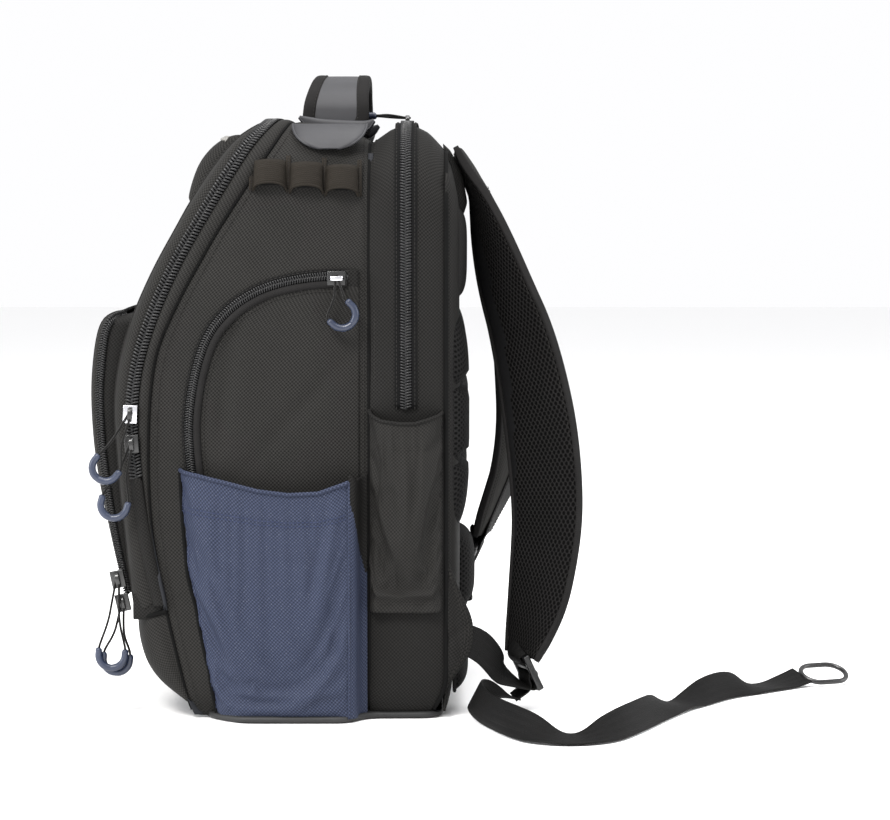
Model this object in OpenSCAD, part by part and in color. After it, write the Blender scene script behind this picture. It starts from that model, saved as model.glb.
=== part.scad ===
// Flight bag: a side-loading pilot's backpack made of sewn panels.
// Frame: +Z up, front of the bag towards -Y, wearer's back towards +Y,
// origin on the floor under the middle of the base.

/* [Body] */
// Width of the body between the outer faces of its side panels
body_w = 296; // [286:2:306]
// Height factor of the panels, 1 is a 460 mm tall body
kz = 1.0; // [0.98:0.01:1.02]
// Thickness of a padded panel
panel_t = 4; // [3:0.5:5]

/* [Pockets] */
// How far the side pockets stand out from the body
pocket_out = 24; // [20:1:28]
// Thickness of pocket cloth with its lining
cloth_t = 2.5; // [2:0.25:3]
// Half width of the front pocket
front_pocket_hw = 118; // [110:1:122]

/* [Straps] */
// Width of the padded shoulder straps
strap_w = 66; // [60:1:70]
// Thickness of the padded shoulder straps
strap_t = 13; // [10:1:15]
// Width of the webbing
web_w = 25; // [20:1:25]
// Thickness of the webbing
web_t = 2; // [1.5:0.1:2.2]

/* [Handle] */
// Width of the grip at its top
grip_w = 42; // [36:1:46]
// Thickness of the grip
grip_t = 9; // [7:0.5:10]

/* [Zips] */
// Width of the heavy zip's coil on each tape
coil_w = 5; // [4:0.5:5]
// Radius of the U-shaped pull grips
pull_r = 10.3; // [9:0.1:11]

/* [Hidden] */
hw = body_w / 2;
e = 0.01;

// A side-view point [y, z] scaled to the chosen height
function S(p) = [p[0], p[1] * kz];
function SP(l) = [for (p = l) S(p)];
function unit(v) = v / norm(v);
function rev(l) = [for (i = [len(l) - 1:-1:0]) l[i]];
// Left-hand normal of a side-view polyline at point i
function nrm(l, i) = let (a = l[max(i - 1, 0)], b = l[min(i + 1, len(l) - 1)], d = unit(b - a)) [-d[1], d[0]];
// Polyline moved sideways by d
function off(l, d) = [for (i = [0:len(l) - 1]) l[i] + nrm(l, i) * d];
// One Chaikin smoothing pass that keeps both ends
function smooth(l) = concat([l[0]], [for (i = [0:len(l) - 2], k = [0, 1]) l[i] * (k == 0 ? 0.75 : 0.25) + l[i + 1] * (k == 0 ? 0.25 : 0.75)], [l[len(l) - 1]]);

// Extrude a side-view polygon along X from x0 to x1
module slab(pts, x0, x1) translate([x0, 0, 0]) rotate([90, 0, 90]) linear_extrude(height = x1 - x0) polygon(pts);
// Extrude a plan-view polygon along Z
module plan(pts, z0, z1) translate([0, 0, z0]) linear_extrude(height = z1 - z0) polygon(pts);
// Strip along a polyline between the offsets d0 and d1
module strip(l, d0, d1, x0, x1) slab(concat(off(l, d0), rev(off(l, d1))), x0, x1);
module both() { children(); mirror([1, 0, 0]) children(); }
// Plain block between two corners
module blk(a, b) translate(a) cube(b - a);

// Ribbon swept through rings: each entry is [centre, width direction, width, thickness]
function ring(r, t) = let (u0 = unit(r[1]), n = unit(cross(t, u0)), u = unit(cross(n, t)), a = u * r[2] / 2, b = n * r[3] / 2)
  [r[0] + a * 0.8 + b, r[0] + a + b * 0.4, r[0] + a - b * 0.4, r[0] + a * 0.8 - b,
   r[0] - a * 0.8 - b, r[0] - a - b * 0.4, r[0] - a + b * 0.4, r[0] - a * 0.8 + b];
module ribbon(rs) {
  n = len(rs);
  pts = [for (i = [0:n - 1]) let (t = unit(rs[min(i + 1, n - 1)][0] - rs[max(i - 1, 0)][0])) for (p = ring(rs[i], t)) p];
  faces = concat([[for (k = [7:-1:0]) k]], [[for (k = [0:7]) (n - 1) * 8 + k]],
    [for (i = [0:n - 2], k = [0:7], h = [0, 1]) h == 0 ? [i * 8 + (k + 1) % 8, (i + 1) * 8 + k, i * 8 + k]
      : [(i + 1) * 8 + (k + 1) % 8, (i + 1) * 8 + k, i * 8 + (k + 1) % 8]]);
  polyhedron(points = pts, faces = faces, convexity = 6);
}

// Thin wall through levels; each level is [outer points, inner points] of equal count
module wall(lv) {
  n = len(lv); m = len(lv[0][0]);
  pts = [for (l = lv) for (p = concat(l[0], l[1])) p];
  function o(j, i) = j * 2 * m + i;
  function q(j, i) = j * 2 * m + m + i;
  function quad(a, b, c, d) = [[a, b, c], [a, c, d]];
  faces = concat(
    [for (j = [0:n - 2], i = [0:m - 2]) for (f = quad(o(j, i), o(j + 1, i), o(j + 1, i + 1), o(j, i + 1))) f],
    [for (j = [0:n - 2], i = [0:m - 2]) for (f = quad(q(j, i + 1), q(j + 1, i + 1), q(j + 1, i), q(j, i))) f],
    [for (i = [0:m - 2]) for (f = quad(o(n - 1, i), q(n - 1, i), q(n - 1, i + 1), o(n - 1, i + 1))) f],
    [for (i = [0:m - 2]) for (f = quad(o(0, i + 1), q(0, i + 1), q(0, i), o(0, i))) f],
    [for (j = [0:n - 2]) for (f = quad(q(j, 0), q(j + 1, 0), o(j + 1, 0), o(j, 0))) f],
    [for (j = [0:n - 2]) for (f = quad(o(j, m - 1), o(j + 1, m - 1), q(j + 1, m - 1), q(j, m - 1))) f]);
  polyhedron(points = pts, faces = faces, convexity = 6);
}

// Side view of the zip that joins lid and body, from the top to the fold
zip_line = SP([[-12, 463], [-28, 446], [-43, 423], [-61, 394], [-81, 360], [-97, 327], [-107, 301],
  [-114, 278], [-118, 254], [-119, 228], [-117, 201], [-112, 160], [-105, 120], [-98, 92]]);
// Outer face of the lid, from the top to the hinge fold
lid_line = SP([[-24, 461], [-42, 450], [-61, 428], [-81, 402], [-95, 374], [-109, 345], [-121, 318],
  [-130, 290], [-135, 260], [-136, 230], [-134, 200], [-130, 160], [-126, 120], [-121, 77.5]]);
// Outer face of the front pocket flap, from the top to its fold
flap_line = SP([[-133, 312], [-145, 303], [-150, 290], [-153, 272], [-154, 252], [-153, 225],
  [-151, 200], [-147, 170], [-141, 141], [-135, 116], [-129, 94]]);
// Inner edge of the front pocket's zip
pocket_zip_line = SP([[-130, 312], [-140, 301], [-146, 272], [-148, 250], [-147, 222], [-145, 198],
  [-141, 168], [-136, 140], [-131, 116], [-126.5, 97]]);
// Arched zip of the side pocket
arch_line = SP([[48, 342], [33, 342], [12, 340], [-10, 335], [-28, 327], [-44, 315], [-58, 298],
  [-67, 272], [-72, 243], [-73, 219], [-70, 192]]);
lower_front = SP([[-120, 75], [-116, 56], [-110, 38], [-99, 25], [-84, 17], [-69, 8], [-58, 0]]);

hinge_y = -121;
hinge_z = 76;
flap_y = -127;
flap_z = 90;

// ---- main body ----
module base_panel() color("#17181a")
  plan([[-hw, -58], [hw, -58], [hw + 10, -50], [hw + pocket_out, -36], [hw + pocket_out, 48], [hw, 64],
        [hw, 108], [-hw, 108], [-hw, 64], [-hw - pocket_out, 48], [-hw - pocket_out, -36], [-hw - 10, -50]], 0, 5);
module lower_front_panel() color("#202124")
  intersection() { strip(lower_front, 0, panel_t, -hw + 6, hw - 6); blk([-hw, -130, 5], [hw, -20, 90]); }
body_side = concat(off(zip_line, 7), SP([[-104, 80], [-116, 73], [-112, 56], [-106, 39], [-96, 28], [-82, 21], [-67, 12], [-58, 5],
  [64, 5], [64, 446], [40, 453], [4, 459]]));
module body_side_panel() slab(body_side, hw - 6, hw);
module side_panel_right() color("#26272a") body_side_panel();
module side_panel_left() color("#26272a") mirror([1, 0, 0]) body_side_panel();
module top_panel() color("#26272a")
  slab(SP([[-4.8, 461], [2, 460], [40, 454], [64, 447], [64, 443], [40, 450], [2, 456], [-4.8, 457]]), -hw + 6, hw - 6);
module divider_panel() color("#3a3c40") blk([-hw + 6.3, 64.3, 5.3], [hw - 6.3, 70, 440 * kz]);
rear_side = SP([[70.3, 5], [108, 5], [121.7, 14], [121.7, 436], [110, 447], [95, 454], [80, 450], [70.3, 444]]);
module rear_gusset() slab(rear_side, hw - 5, hw);
module rear_gusset_right() color("#232427") rear_gusset();
module rear_gusset_left() color("#232427") mirror([1, 0, 0]) rear_gusset();
module rear_top_panel() color("#232427")
  slab(SP([[70.3, 444], [80, 450], [95, 454], [110, 447], [121.7, 436], [121.7, 431], [110, 442], [95, 449], [80, 445], [70.3, 439]]), -hw + 5.3, hw - 5.3);
module back_panel() color("#2b2c2e") difference() {
  slab(SP([[122, 8], [132, 14], [135, 60], [135, 406], [126, 428], [122, 436]]), -hw + 4, hw - 4);
  blk([-126, 126, 28], [126, 129, 402 * kz]);
}
module frame_sheet() color("#d8d8d2") blk([-125.6, 126.4, 28.4], [125.6, 128.6, 401 * kz]);
module back_pads() color("#1c1d1f") {
  both() blk([14, 135, 152], [hw - 16, 144, 315]);
  both() blk([14, 135, 326], [hw - 22, 138, 396]);
  blk([-hw + 16, 135, 18], [hw - 16, 143, 52]);
}

// ---- side pockets ----
// Front edge of the side pocket at a height, and the drop of its hem
pocket_levels = [[5, -54], [45, -62], [85, -70], [110, -76], [150, -80], [185, -81.5]];
hem = [9, 6, 1, -5, -8, -7, 1];
module pocket_wall() wall([for (j = [0:5]) let (z = pocket_levels[j][0], f = pocket_levels[j][1], t = cloth_t, h = j == 5 ? 1 : 0)
  [[[hw + 0.3, f, z + h * hem[0]], [hw + 12, f + 6, z + h * hem[1]], [hw + pocket_out - 5, f + 17, z + h * hem[2]], [hw + pocket_out, f + 40, z + h * hem[3]],
    [hw + pocket_out, 0, z + h * hem[4]], [hw + pocket_out, 26, z + h * hem[5]], [hw + pocket_out, 48, z + h * hem[6]]],
   [[hw + 0.3, f + t + 0.6, z + h * hem[0]], [hw + 11, f + 6 + t, z + h * hem[1]], [hw + pocket_out - 6.6, f + 17 + t * 0.9, z + h * hem[2]], [hw + pocket_out - t, f + 41, z + h * hem[3]],
    [hw + pocket_out - t, 0, z + h * hem[4]], [hw + pocket_out - t, 26, z + h * hem[5]], [hw + pocket_out - t, 48, z + h * hem[6]]]]]);
module side_pocket_right() color("#3d4766") pocket_wall();
module side_pocket_left() color("#3d4766") mirror([1, 0, 0]) pocket_wall();
module pocket_gusset() plan([[hw + 0.3, 60], [hw + pocket_out, 48.3], [hw + pocket_out, 51.5], [hw + 0.3, 63]], 5, 192);
module side_pocket_gusset_right() color("#1d1e20") pocket_gusset();
module side_pocket_gusset_left() color("#1d1e20") mirror([1, 0, 0]) pocket_gusset();
module tube_wall() {
  difference() {
    plan([[hw, 64], [hw + 10, 67], [hw + 17, 76], [hw + 19, 92], [hw + 17, 108], [hw + 10, 117], [hw, 121]], 86, 236);
    plan([[hw - 1, 67], [hw + 8.5, 69.6], [hw + 14.7, 77.4], [hw + 16.5, 92], [hw + 14.7, 106.6], [hw + 8.5, 114.6], [hw - 1, 118]], 88.5, 240);
  }
}
module tube_pocket_right() color("#1f2022") tube_wall();
module tube_pocket_left() color("#1f2022") mirror([1, 0, 0]) tube_wall();
arch_area = concat(off(arch_line, 5), SP([[-62, 170], [56, 170], [56, 336]]));
module arch_panels() color("#26272a") both() slab(arch_area, hw, hw + 3);
module arch_zips() color("#0f1012") both() strip(arch_line, -3.5, 4, hw, hw + 3);
loop_y = [-11, 17, 44];
module pen_loops() color("#26231e") {
  for (i = [0:2]) translate([hw, loop_y[i], 412 - i * 2.5]) intersection() {
    difference() {
      cylinder(r = 12.8, h = 25, $fn = 40);
      translate([0, 0, -1]) cylinder(r = 10.9, h = 27, $fn = 40);
    }
    translate([0, -20, -2]) cube([30, 40, 40]);
  }
}

// ---- zips ----
module main_zip_body_half() color("#0d0d0f") {
  both() strip(zip_line, 0.4, coil_w + 1.8, hw - 4, hw + 2);
  slab(SP([[-11.6, 460.5], [-11.6, 464.5], [-5, 463.5], [-5, 459.5]]), -hw + 4, hw - 4);
}
module main_zip_lid_half() color("#0d0d0f") {
  both() strip(zip_line, -coil_w - 1.8, -0.4, hw - 4, hw + 2);
  slab(SP([[-12.4, 460.5], [-12.4, 464.5], [-18.5, 464], [-23, 461.8], [-22, 459]]), -hw + 4, hw - 4);
}
module rear_zip() color("#0d0d0f") {
  both() blk([hw, 86, 238], [hw + 2, 100, 449 * kz]);
  blk([-hw, 88, 454.1 * kz], [hw, 100, 456.5 * kz]);
}

// ---- front lid ----
module lid_side() slab(concat(off(zip_line, -7), SP([[-98, 88]]), rev(lid_line)), hw - 5.7, hw - 0.3);
module lid_gusset_right() color("#232427") lid_side();
module lid_gusset_left() color("#232427") mirror([1, 0, 0]) lid_side();
module lid_front_panel() color("#2a2b2e") strip(lid_line, 0, panel_t - 0.5, -hw + 6, hw - 6);
module top_pocket() color("#2a2b2e")
  slab(SP([[-44, 449.5], [-56, 446], [-69, 434], [-75, 420], [-83, 402], [-62, 428]]), -95, 95);
module top_pocket_zip() color("#c9c6bd") strip(SP([[-46, 451], [-57, 446.8], [-70, 434.8], [-77, 420]]), -2.2, -0.2, -95, 95);
module front_pocket_gusset() color("#232427") {
  both() slab(concat(SP([[-128, 308], [-136, 296]]), off([for (i = [2:9]) pocket_zip_line[i]], 1), SP([[-124.4, 95], [-126.6, 120], [-130.6, 160], [-134.6, 200], [-136.6, 230], [-135.6, 260], [-130.6, 290]])),
    front_pocket_hw - 3, front_pocket_hw);
}
module front_pocket_zip() color("#0d0d0f") both() strip(pocket_zip_line, -1, 2.6, front_pocket_hw + 0.3, front_pocket_hw + 2.8);
module front_pocket_flap() color("#2a2b2e") strip(flap_line, 0, 3, -front_pocket_hw, front_pocket_hw);

// ---- carry handle ----
handle_z = 459.5;
handle_y = 38;
module handle_bases() color("#4a4a50") both() difference() {
  translate([76, 0, 0]) rotate([90, 0, 90]) linear_extrude(height = 15)
    polygon([[9, 459.4], [40, 454.5], [64, 447.6], [67, 451], [67, 464], [58, 466], [handle_y, 465], [18, 468], [8, 468]]);
  translate([70, handle_y, handle_z]) rotate([0, 90, 0]) cylinder(r = 3.3, h = 30, $fn = 32);
}
grip_half = [
    [[-70, handle_y, 457.2], [0, 1, 0], 9, 6],
    [[-70, handle_y, 464], [0, 1, 0], 13, 6.5],
    [[-69.5, handle_y, 470], [0, 1, 0], 30, 7],
    [[-68, handle_y, 477], [0, 1, 0], 48, grip_t],
    [[-61, handle_y + 1, 486.5], [0, 1, 0], 46, grip_t],
    [[-46, handle_y + 2, 493.5], [0, 1, 0], 44, grip_t],
    [[-24, handle_y + 3, 497.5], [0, 1, 0], grip_w, grip_t]];
module handle_grip() color("#3a3a3d") {
  ribbon(concat(grip_half, [[[0, handle_y + 3, 498.5], [0, 1, 0], grip_w, grip_t]],
    [for (r = rev(grip_half)) [[-r[0][0], r[0][1], r[0][2]], r[1], r[2], r[3]]]));
  both() translate([70, handle_y, handle_z]) rotate([0, 90, 0]) cylinder(r = 3, h = 20, $fn = 32);
}

// ---- shoulder straps: [centre, turn of the face in degrees, width] ----
right_rings = [
  [[70, 133, 441], 0, 62], [[72, 142.5, 423], 0, 64], [[75, 151.5, 400], 13, 65], [[79, 161, 366], 27, 66], [[83, 171.5, 331], 37, 66],
  [[87, 183, 299], 44, 66], [[91, 192, 261], 50, 66], [[95, 199, 221], 54, 66], [[99, 203, 181], 56, 64],
  [[102, 204, 150], 56, 62], [[104, 201, 118], 54, 60], [[106, 196.5, 87], 50, 57], [[108, 190, 62], 43, 50], [[110, 184, 45], 35, 42]];
left_rings = [
  [[-70, 133, 441], 0, 62], [[-71, 142.5, 422], 0, 64], [[-73, 152.5, 396], -6, 65], [[-75, 164, 368], -14, 66], [[-77, 174, 335], -24, 66],
  [[-79, 182, 297], -32, 66], [[-80, 187, 256], -36, 66], [[-81, 188, 216], -36, 64],
  [[-82, 181, 181], -31, 62], [[-83, 167, 152], -22, 56], [[-84, 158, 134], -16, 48], [[-85, 151.5, 118], -8, 36]];
function strap_ring(r) = [S2(r[0]), [cos(r[1]), sin(r[1]), 0], r[2] * strap_w / 66, strap_t];
function S2(p) = [p[0], p[1], p[2] * kz];
module shoulder_strap(rs) ribbon([for (r = rs) strap_ring(r)]);
module shoulder_strap_right() color("#2c2c2e") shoulder_strap(right_rings);
module shoulder_strap_left() color("#2c2c2e") shoulder_strap(left_rings);
// Flat webbing loops sewn on the outer face of a strap
module strap_loop(c, a, tilt) translate(c) rotate([0, 0, a]) rotate([tilt, 0, 0]) translate([-19, 7, -13]) cube([38, 2.4, 26]);
module strap_loops_right() color("#1a1a1c") {
  strap_loop([84.2, 174.3, 322], 39, 17);
  strap_loop([96.8, 201, 205], 55, 6);
}
module strap_loops_left() color("#1a1a1c") {
  strap_loop([-77.4, 175.8, 322], -27, 15);
  strap_loop([-81, 188, 205], -35, -3);
}
// Ladder lock: a frame with two slots and a middle bar
module ladder_lock() difference() {
  blk([-17, -2.6, -30], [17, 2.6, 0]);
  blk([-13.2, -4, -9.5], [13.2, 4, -4.5]);
  blk([-13.2, -4, -17.5], [13.2, 4, -13]);
  blk([-13.2, -4, -26.5], [13.2, 4, -21]);
}
module ladder_lock_right() color("#0c0c0e") translate([110.4, 181, 45]) rotate([0, 0, 20]) rotate([26, 0, 0]) ladder_lock();
module ladder_lock_left() color("#0c0c0e") translate([-85, 153, 117]) rotate([0, 0, -6]) rotate([-22, 0, 0]) rotate([0, 38, 0]) ladder_lock();

// ---- wings and webbing ----
module side_wings() color("#232427") both() slab(SP([[123, 118], [128, 119], [143, 74], [143, 48], [126, 34], [123, 36]]), hw - 3.7, hw - 0.7);
lower_right = [
  [[145.8, 137, 62], [0, 0.3, 1], web_w, web_t], [[145.6, 144, 60], [0, 0.3, 1], web_w, web_t], [[142, 153, 54], [-0.2, 0.35, 1], web_w, web_t],
  [[133, 160, 45], [-0.5, 0.5, 0.9], web_w, web_t], [[124, 165, 36], [-0.8, 0.5, 0.6], web_w, web_t], [[117.5, 170, 29], [-1, 0.2, 0.3], web_w, web_t], [[112.5, 176, 23], [-1, 0.2, 0.1], web_w, web_t]];
lower_left = [
  [[-145.8, 137, 64], [0, 0.1, 1], web_w, web_t], [[-145, 141.5, 64.5], [0, 0, 1], web_w, web_t], [[-141, 144.8, 66], [-0.1, -0.1, 1], web_w, web_t],
  [[-132, 146.2, 70.5], [-0.35, 0, 0.94], web_w, web_t], [[-121, 146.4, 78.5], [-0.55, 0.15, 0.82], web_w, web_t],
  [[-112, 146.2, 87], [-0.68, 0.25, 0.68], web_w, web_t], [[-105.6, 146, 93.6], [-0.76, 0.312, 0.571], web_w, web_t]];
module lower_webbing_right() color("#141415") ribbon(lower_right);
module lower_webbing_left() color("#141415") ribbon(lower_left);
// Free end of the webbing: leaves the ladder lock, drops to the floor and lies there
tail_route = [
  [[109, 177, 10], [1, 0.3, 0]], [[114, 168, 11], [0.9, 0.4, 0.2]], [[120, 159, 14], [0.7, 0.4, 0.6]], [[128, 151, 17.5], [0.3, 0.5, 0.9]],
  [[139, 146.5, 18.5], [0.1, 0.5, 0.95]], [[152, 146.5, 17], [0, 0.4, 0.95]], [[168, 150, 14.8], [0, 0.35, 0.95]], [[186, 155.5, 13.2], [0, 0.3, 0.95]], [[205, 163, 12.6], [-0.1, 0.3, 0.95]],
  [[226, 172, 12.2], [-0.2, 0.4, 0.9]], [[243, 184, 10], [-0.5, 0.3, 0.7]], [[254, 199, 6], [-1, 0, 0.35]], [[257, 216, 2.6], [-1, 0, 0.1]],
  [[252, 234, 4.6], [-1, -0.2, 0.25]], [[238, 250, 9.5], [-0.7, -0.5, 0.8]], [[218, 263, 11.4], [-0.4, -0.5, 1]], [[194, 274, 11.4], [-0.4, -0.5, 1]],
  [[168, 284, 10.8], [-0.5, -0.5, 0.9]], [[142, 293, 9], [-0.6, -0.7, 0.7]], [[118, 302, 5.2], [-0.5, -1, 0.3]], [[99, 312, 2.6], [-0.4, -1, 0]],
  [[84, 324, 5.8], [-0.5, -0.9, 0.4]], [[69, 337, 10], [-0.4, -0.7, 0.9]], [[52, 350, 10.6], [-0.4, -0.6, 1]], [[36, 364, 8.6], [-0.5, -0.6, 0.7]],
  [[21, 378, 3.2], [-0.7, -0.7, 0.1]], [[8, 393, 2.6], [-0.7, -0.7, 0.05]], [[-4, 407, 4.4], [-0.85, -0.5, 0.3]], [[-12, 419.5, 8.2], [-0.85, -0.4, 0.4]]];
module webbing_tail() color("#141415") ribbon([for (r = tail_route) [r[0], r[1], web_w, web_t]]);
// Oval ring of the webbing's end
module oval(r, h) { translate([-7, 0, 0]) cylinder(r = r, h = h, $fn = 48); translate([7, 0, 0]) cylinder(r = r, h = h, $fn = 48); translate([-7, -r, 0]) cube([14, 2 * r, h]); }
module tail_ring() color("#0c0c0e") translate([-20, 438.5, 8.5]) rotate([0, 0, 112]) rotate([24, 0, 0]) translate([0, 0, -2]) difference() {
  oval(15, 4);
  translate([0, 0, -1]) oval(10.8, 6);
}

// ---- zip sliders and pulls; each lies on a right-hand surface, normal +X ----
// Slider body along its zip, z up, with a bail that holds the pull's cord
module slider() difference() {
  union() {
    blk([0, -5.5, -8], [2.2, 5.5, 8]);
    blk([2.2, -4, -3.6], [6.4, 4, 3.6]);
  }
  translate([-1, 0, 0]) rotate([0, 90, 0]) cylinder(r = 1.35, h = 12, $fn = 24);
}
// Pull: a cord through the bail and a U-shaped grip hanging from it. x is how far out the grip hangs
module pull(x, l) {
  translate([0.4, 0, 0]) rotate([0, 90, 0]) cylinder(r = 1.1, h = x + 0.6, $fn = 20);
  for (s = [-1, 1]) translate([x, 0, 0]) rotate([s * atan(pull_r / l), 0, 0]) translate([0, 0, -sqrt(l * l + pull_r * pull_r)]) cylinder(r = 1.1, h = sqrt(l * l + pull_r * pull_r), $fn = 20);
  translate([x, 0, -l]) difference() {
    rotate([0, 90, 0]) rotate_extrude($fn = 48) translate([pull_r, 0]) circle(r = 2.1, $fn = 20);
    blk([-5, -20, 0.6], [5, 20, 20]);
  }
}
main_up_at = [hw + 2.3, -119.5, 237];
main_low_at = [hw + 2.3, -118.5, 214];
pocket_up_at = [front_pocket_hw + 3.1, -133, 105.5];
pocket_low_at = [front_pocket_hw + 3.1, -129.2, 87];
arch_at = [hw + 3.4, 40, 342];
rear_at = [30, 94, 456.8];
module main_slider_upper() color("#b9bcc2") translate(main_up_at) rotate([-3, 0, 0]) slider();
module main_slider_lower() color("#0d0d0f") translate(main_low_at) rotate([4, 0, 0]) slider();
module pocket_slider_upper() color("#0d0d0f") translate(pocket_up_at) rotate([12, 0, 0]) slider();
module pocket_slider_lower() color("#0d0d0f") translate(pocket_low_at) rotate([12, 0, 0]) slider();
module arch_slider() color("#0d0d0f") translate(arch_at) rotate([90, 0, 0]) slider();
module rear_slider() color("#0d0d0f") translate(rear_at) rotate([0, -90, 0]) rotate([0, 0, 0]) slider();
module main_pull_upper() color("#3b4560") translate(main_up_at) rotate([-24, 0, 0]) pull(13, 44);
module main_pull_lower() color("#3b4560") translate(main_low_at) rotate([-16, 0, 0]) pull(8.2, 48);
module pocket_pull_upper() color("#3b4560") translate(pocket_up_at) rotate([-4, 0, 0]) pull(13, 58);
module pocket_pull_lower() color("#3b4560") translate(pocket_low_at) rotate([-6, 0, 0]) pull(8.2, 44);
module arch_pull() color("#3b4560") translate(arch_at) rotate([9, 0, 0]) pull(9, 28);
module rear_pull() color("#3b4560") translate(rear_at) rotate([0, -90, 0]) rotate([-90, 0, 0]) pull(8.2, 30);

base_panel();
lower_front_panel();
side_panel_right();
side_panel_left();
top_panel();
divider_panel();
rear_gusset_right();
rear_gusset_left();
rear_top_panel();
back_panel();
frame_sheet();
back_pads();
side_pocket_right();
side_pocket_gusset_right();
side_pocket_left();
side_pocket_gusset_left();
tube_pocket_right();
tube_pocket_left();
arch_panels();
arch_zips();
pen_loops();
main_zip_body_half();
rear_zip();
handle_bases();
side_wings();
lid_front_panel();
lid_gusset_right();
lid_gusset_left();
main_zip_lid_half();
top_pocket();
top_pocket_zip();
front_pocket_gusset();
front_pocket_zip();
front_pocket_flap();
handle_grip();
shoulder_strap_right();
strap_loops_right();
ladder_lock_right();
shoulder_strap_left();
strap_loops_left();
ladder_lock_left();
lower_webbing_right();
lower_webbing_left();
webbing_tail();
tail_ring();
main_slider_upper();
main_slider_lower();
pocket_slider_upper();
pocket_slider_lower();
arch_slider();
rear_slider();
main_pull_upper();
main_pull_lower();
pocket_pull_upper();
pocket_pull_lower();
arch_pull();
rear_pull();
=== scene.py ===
import bpy, bmesh, math
import numpy as np
from mathutils import Vector, Matrix


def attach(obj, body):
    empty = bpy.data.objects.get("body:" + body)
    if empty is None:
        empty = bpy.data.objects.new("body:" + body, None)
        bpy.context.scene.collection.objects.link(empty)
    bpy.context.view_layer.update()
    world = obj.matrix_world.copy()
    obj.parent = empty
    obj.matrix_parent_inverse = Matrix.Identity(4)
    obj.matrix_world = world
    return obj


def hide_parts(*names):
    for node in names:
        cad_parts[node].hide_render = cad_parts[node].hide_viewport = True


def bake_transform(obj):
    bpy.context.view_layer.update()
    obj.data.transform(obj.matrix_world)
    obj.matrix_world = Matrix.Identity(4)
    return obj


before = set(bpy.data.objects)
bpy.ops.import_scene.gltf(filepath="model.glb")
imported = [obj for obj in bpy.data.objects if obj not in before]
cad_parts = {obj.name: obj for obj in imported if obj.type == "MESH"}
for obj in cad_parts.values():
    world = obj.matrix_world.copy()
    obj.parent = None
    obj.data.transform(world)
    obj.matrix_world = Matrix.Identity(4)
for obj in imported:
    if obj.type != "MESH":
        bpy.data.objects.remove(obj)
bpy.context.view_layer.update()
MM = 0.001
RNG = np.random.RandomState(7)
scene = bpy.context.scene
for nm in ("Cube", "Light", "Camera"):
    if nm in bpy.data.objects:
        bpy.data.objects.remove(bpy.data.objects[nm])


# ------------------------------------------------------------------ small maths
def arr(l):
    return np.array(l, float)


def unit(v):
    v = np.asarray(v, float)
    return v / np.maximum(np.linalg.norm(v, axis=-1, keepdims=True), 1e-12)


def smooth(l, n=2, closed=False):
    """Chaikin corner cutting that keeps both ends."""
    l = arr(l)
    for _ in range(n):
        a, b = l[:-1], l[1:]
        m = np.empty((2 * len(a), l.shape[1]))
        m[0::2] = a * 0.75 + b * 0.25
        m[1::2] = a * 0.25 + b * 0.75
        l = np.vstack([l[:1], m, l[-1:]])
    return l


def resample(l, n):
    l = arr(l)
    d = np.r_[0, np.cumsum(np.linalg.norm(np.diff(l, axis=0), axis=1))]
    s = np.linspace(0, d[-1], n)
    return np.stack([np.interp(s, d, l[:, k]) for k in range(l.shape[1])], 1)


def length(l):
    return float(np.linalg.norm(np.diff(arr(l), axis=0), axis=1).sum())


def sstep(x, a, b):
    t = np.clip((np.asarray(x, float) - a) / (b - a), 0, 1)
    return t * t * (3 - 2 * t)


def tangents(p):
    return unit(np.gradient(arr(p), axis=0))


def wave_noise(a, b, seed, n=7, scale=1.0):
    """A smooth repeatable field of summed sines, about -1..1."""
    r = np.random.RandomState(seed)
    out = 0
    for _ in range(n):
        k = r.uniform(0.4, 1.6) * scale
        th = r.uniform(0, 2 * math.pi)
        out = out + np.sin(a * k * math.cos(th) + b * k * math.sin(th) + r.uniform(0, 6.28))
    return out / n * 1.6


# ------------------------------------------------------------------ mesh makers
def obj_from(name, verts, faces, mats, uv=None, midx=None, smooth_faces=True):
    me = bpy.data.meshes.new(name)
    me.from_pydata((np.asarray(verts, float) * MM).tolist(), [], faces)
    if not isinstance(mats, (list, tuple)):
        mats = [mats]
    for m in mats:
        me.materials.append(m)
    if midx is not None:
        me.polygons.foreach_set("material_index", np.asarray(midx, dtype=np.int32))
    if smooth_faces:
        me.polygons.foreach_set("use_smooth", np.ones(len(me.polygons), dtype=bool))
    if uv is not None:
        lay = me.uv_layers.new(name="UVMap")
        idx = np.empty(len(me.loops), dtype=np.int32)
        me.loops.foreach_get("vertex_index", idx)
        lay.data.foreach_set("uv", (np.asarray(uv, float) * MM)[idx].ravel())
    me.update()
    o = bpy.data.objects.new(name, me)
    scene.collection.objects.link(o)
    return o


def grid_uv(P):
    """Lengths along both ways of a grid, measured from its middle."""
    nu, nv = P.shape[:2]
    dv = np.linalg.norm(np.diff(P, axis=1), axis=2)
    cv = np.concatenate([np.zeros((nu, 1)), np.cumsum(dv, 1)], 1)
    cv = cv - cv[:, [nv // 2]]
    du = np.linalg.norm(np.diff(P, axis=0), axis=2)
    cu = np.concatenate([np.zeros((1, nv)), np.cumsum(du, 0)], 0)
    cu = np.repeat(cu.mean(1, keepdims=True), nv, 1)
    return np.stack([cv, cu], -1).reshape(-1, 2)


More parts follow.
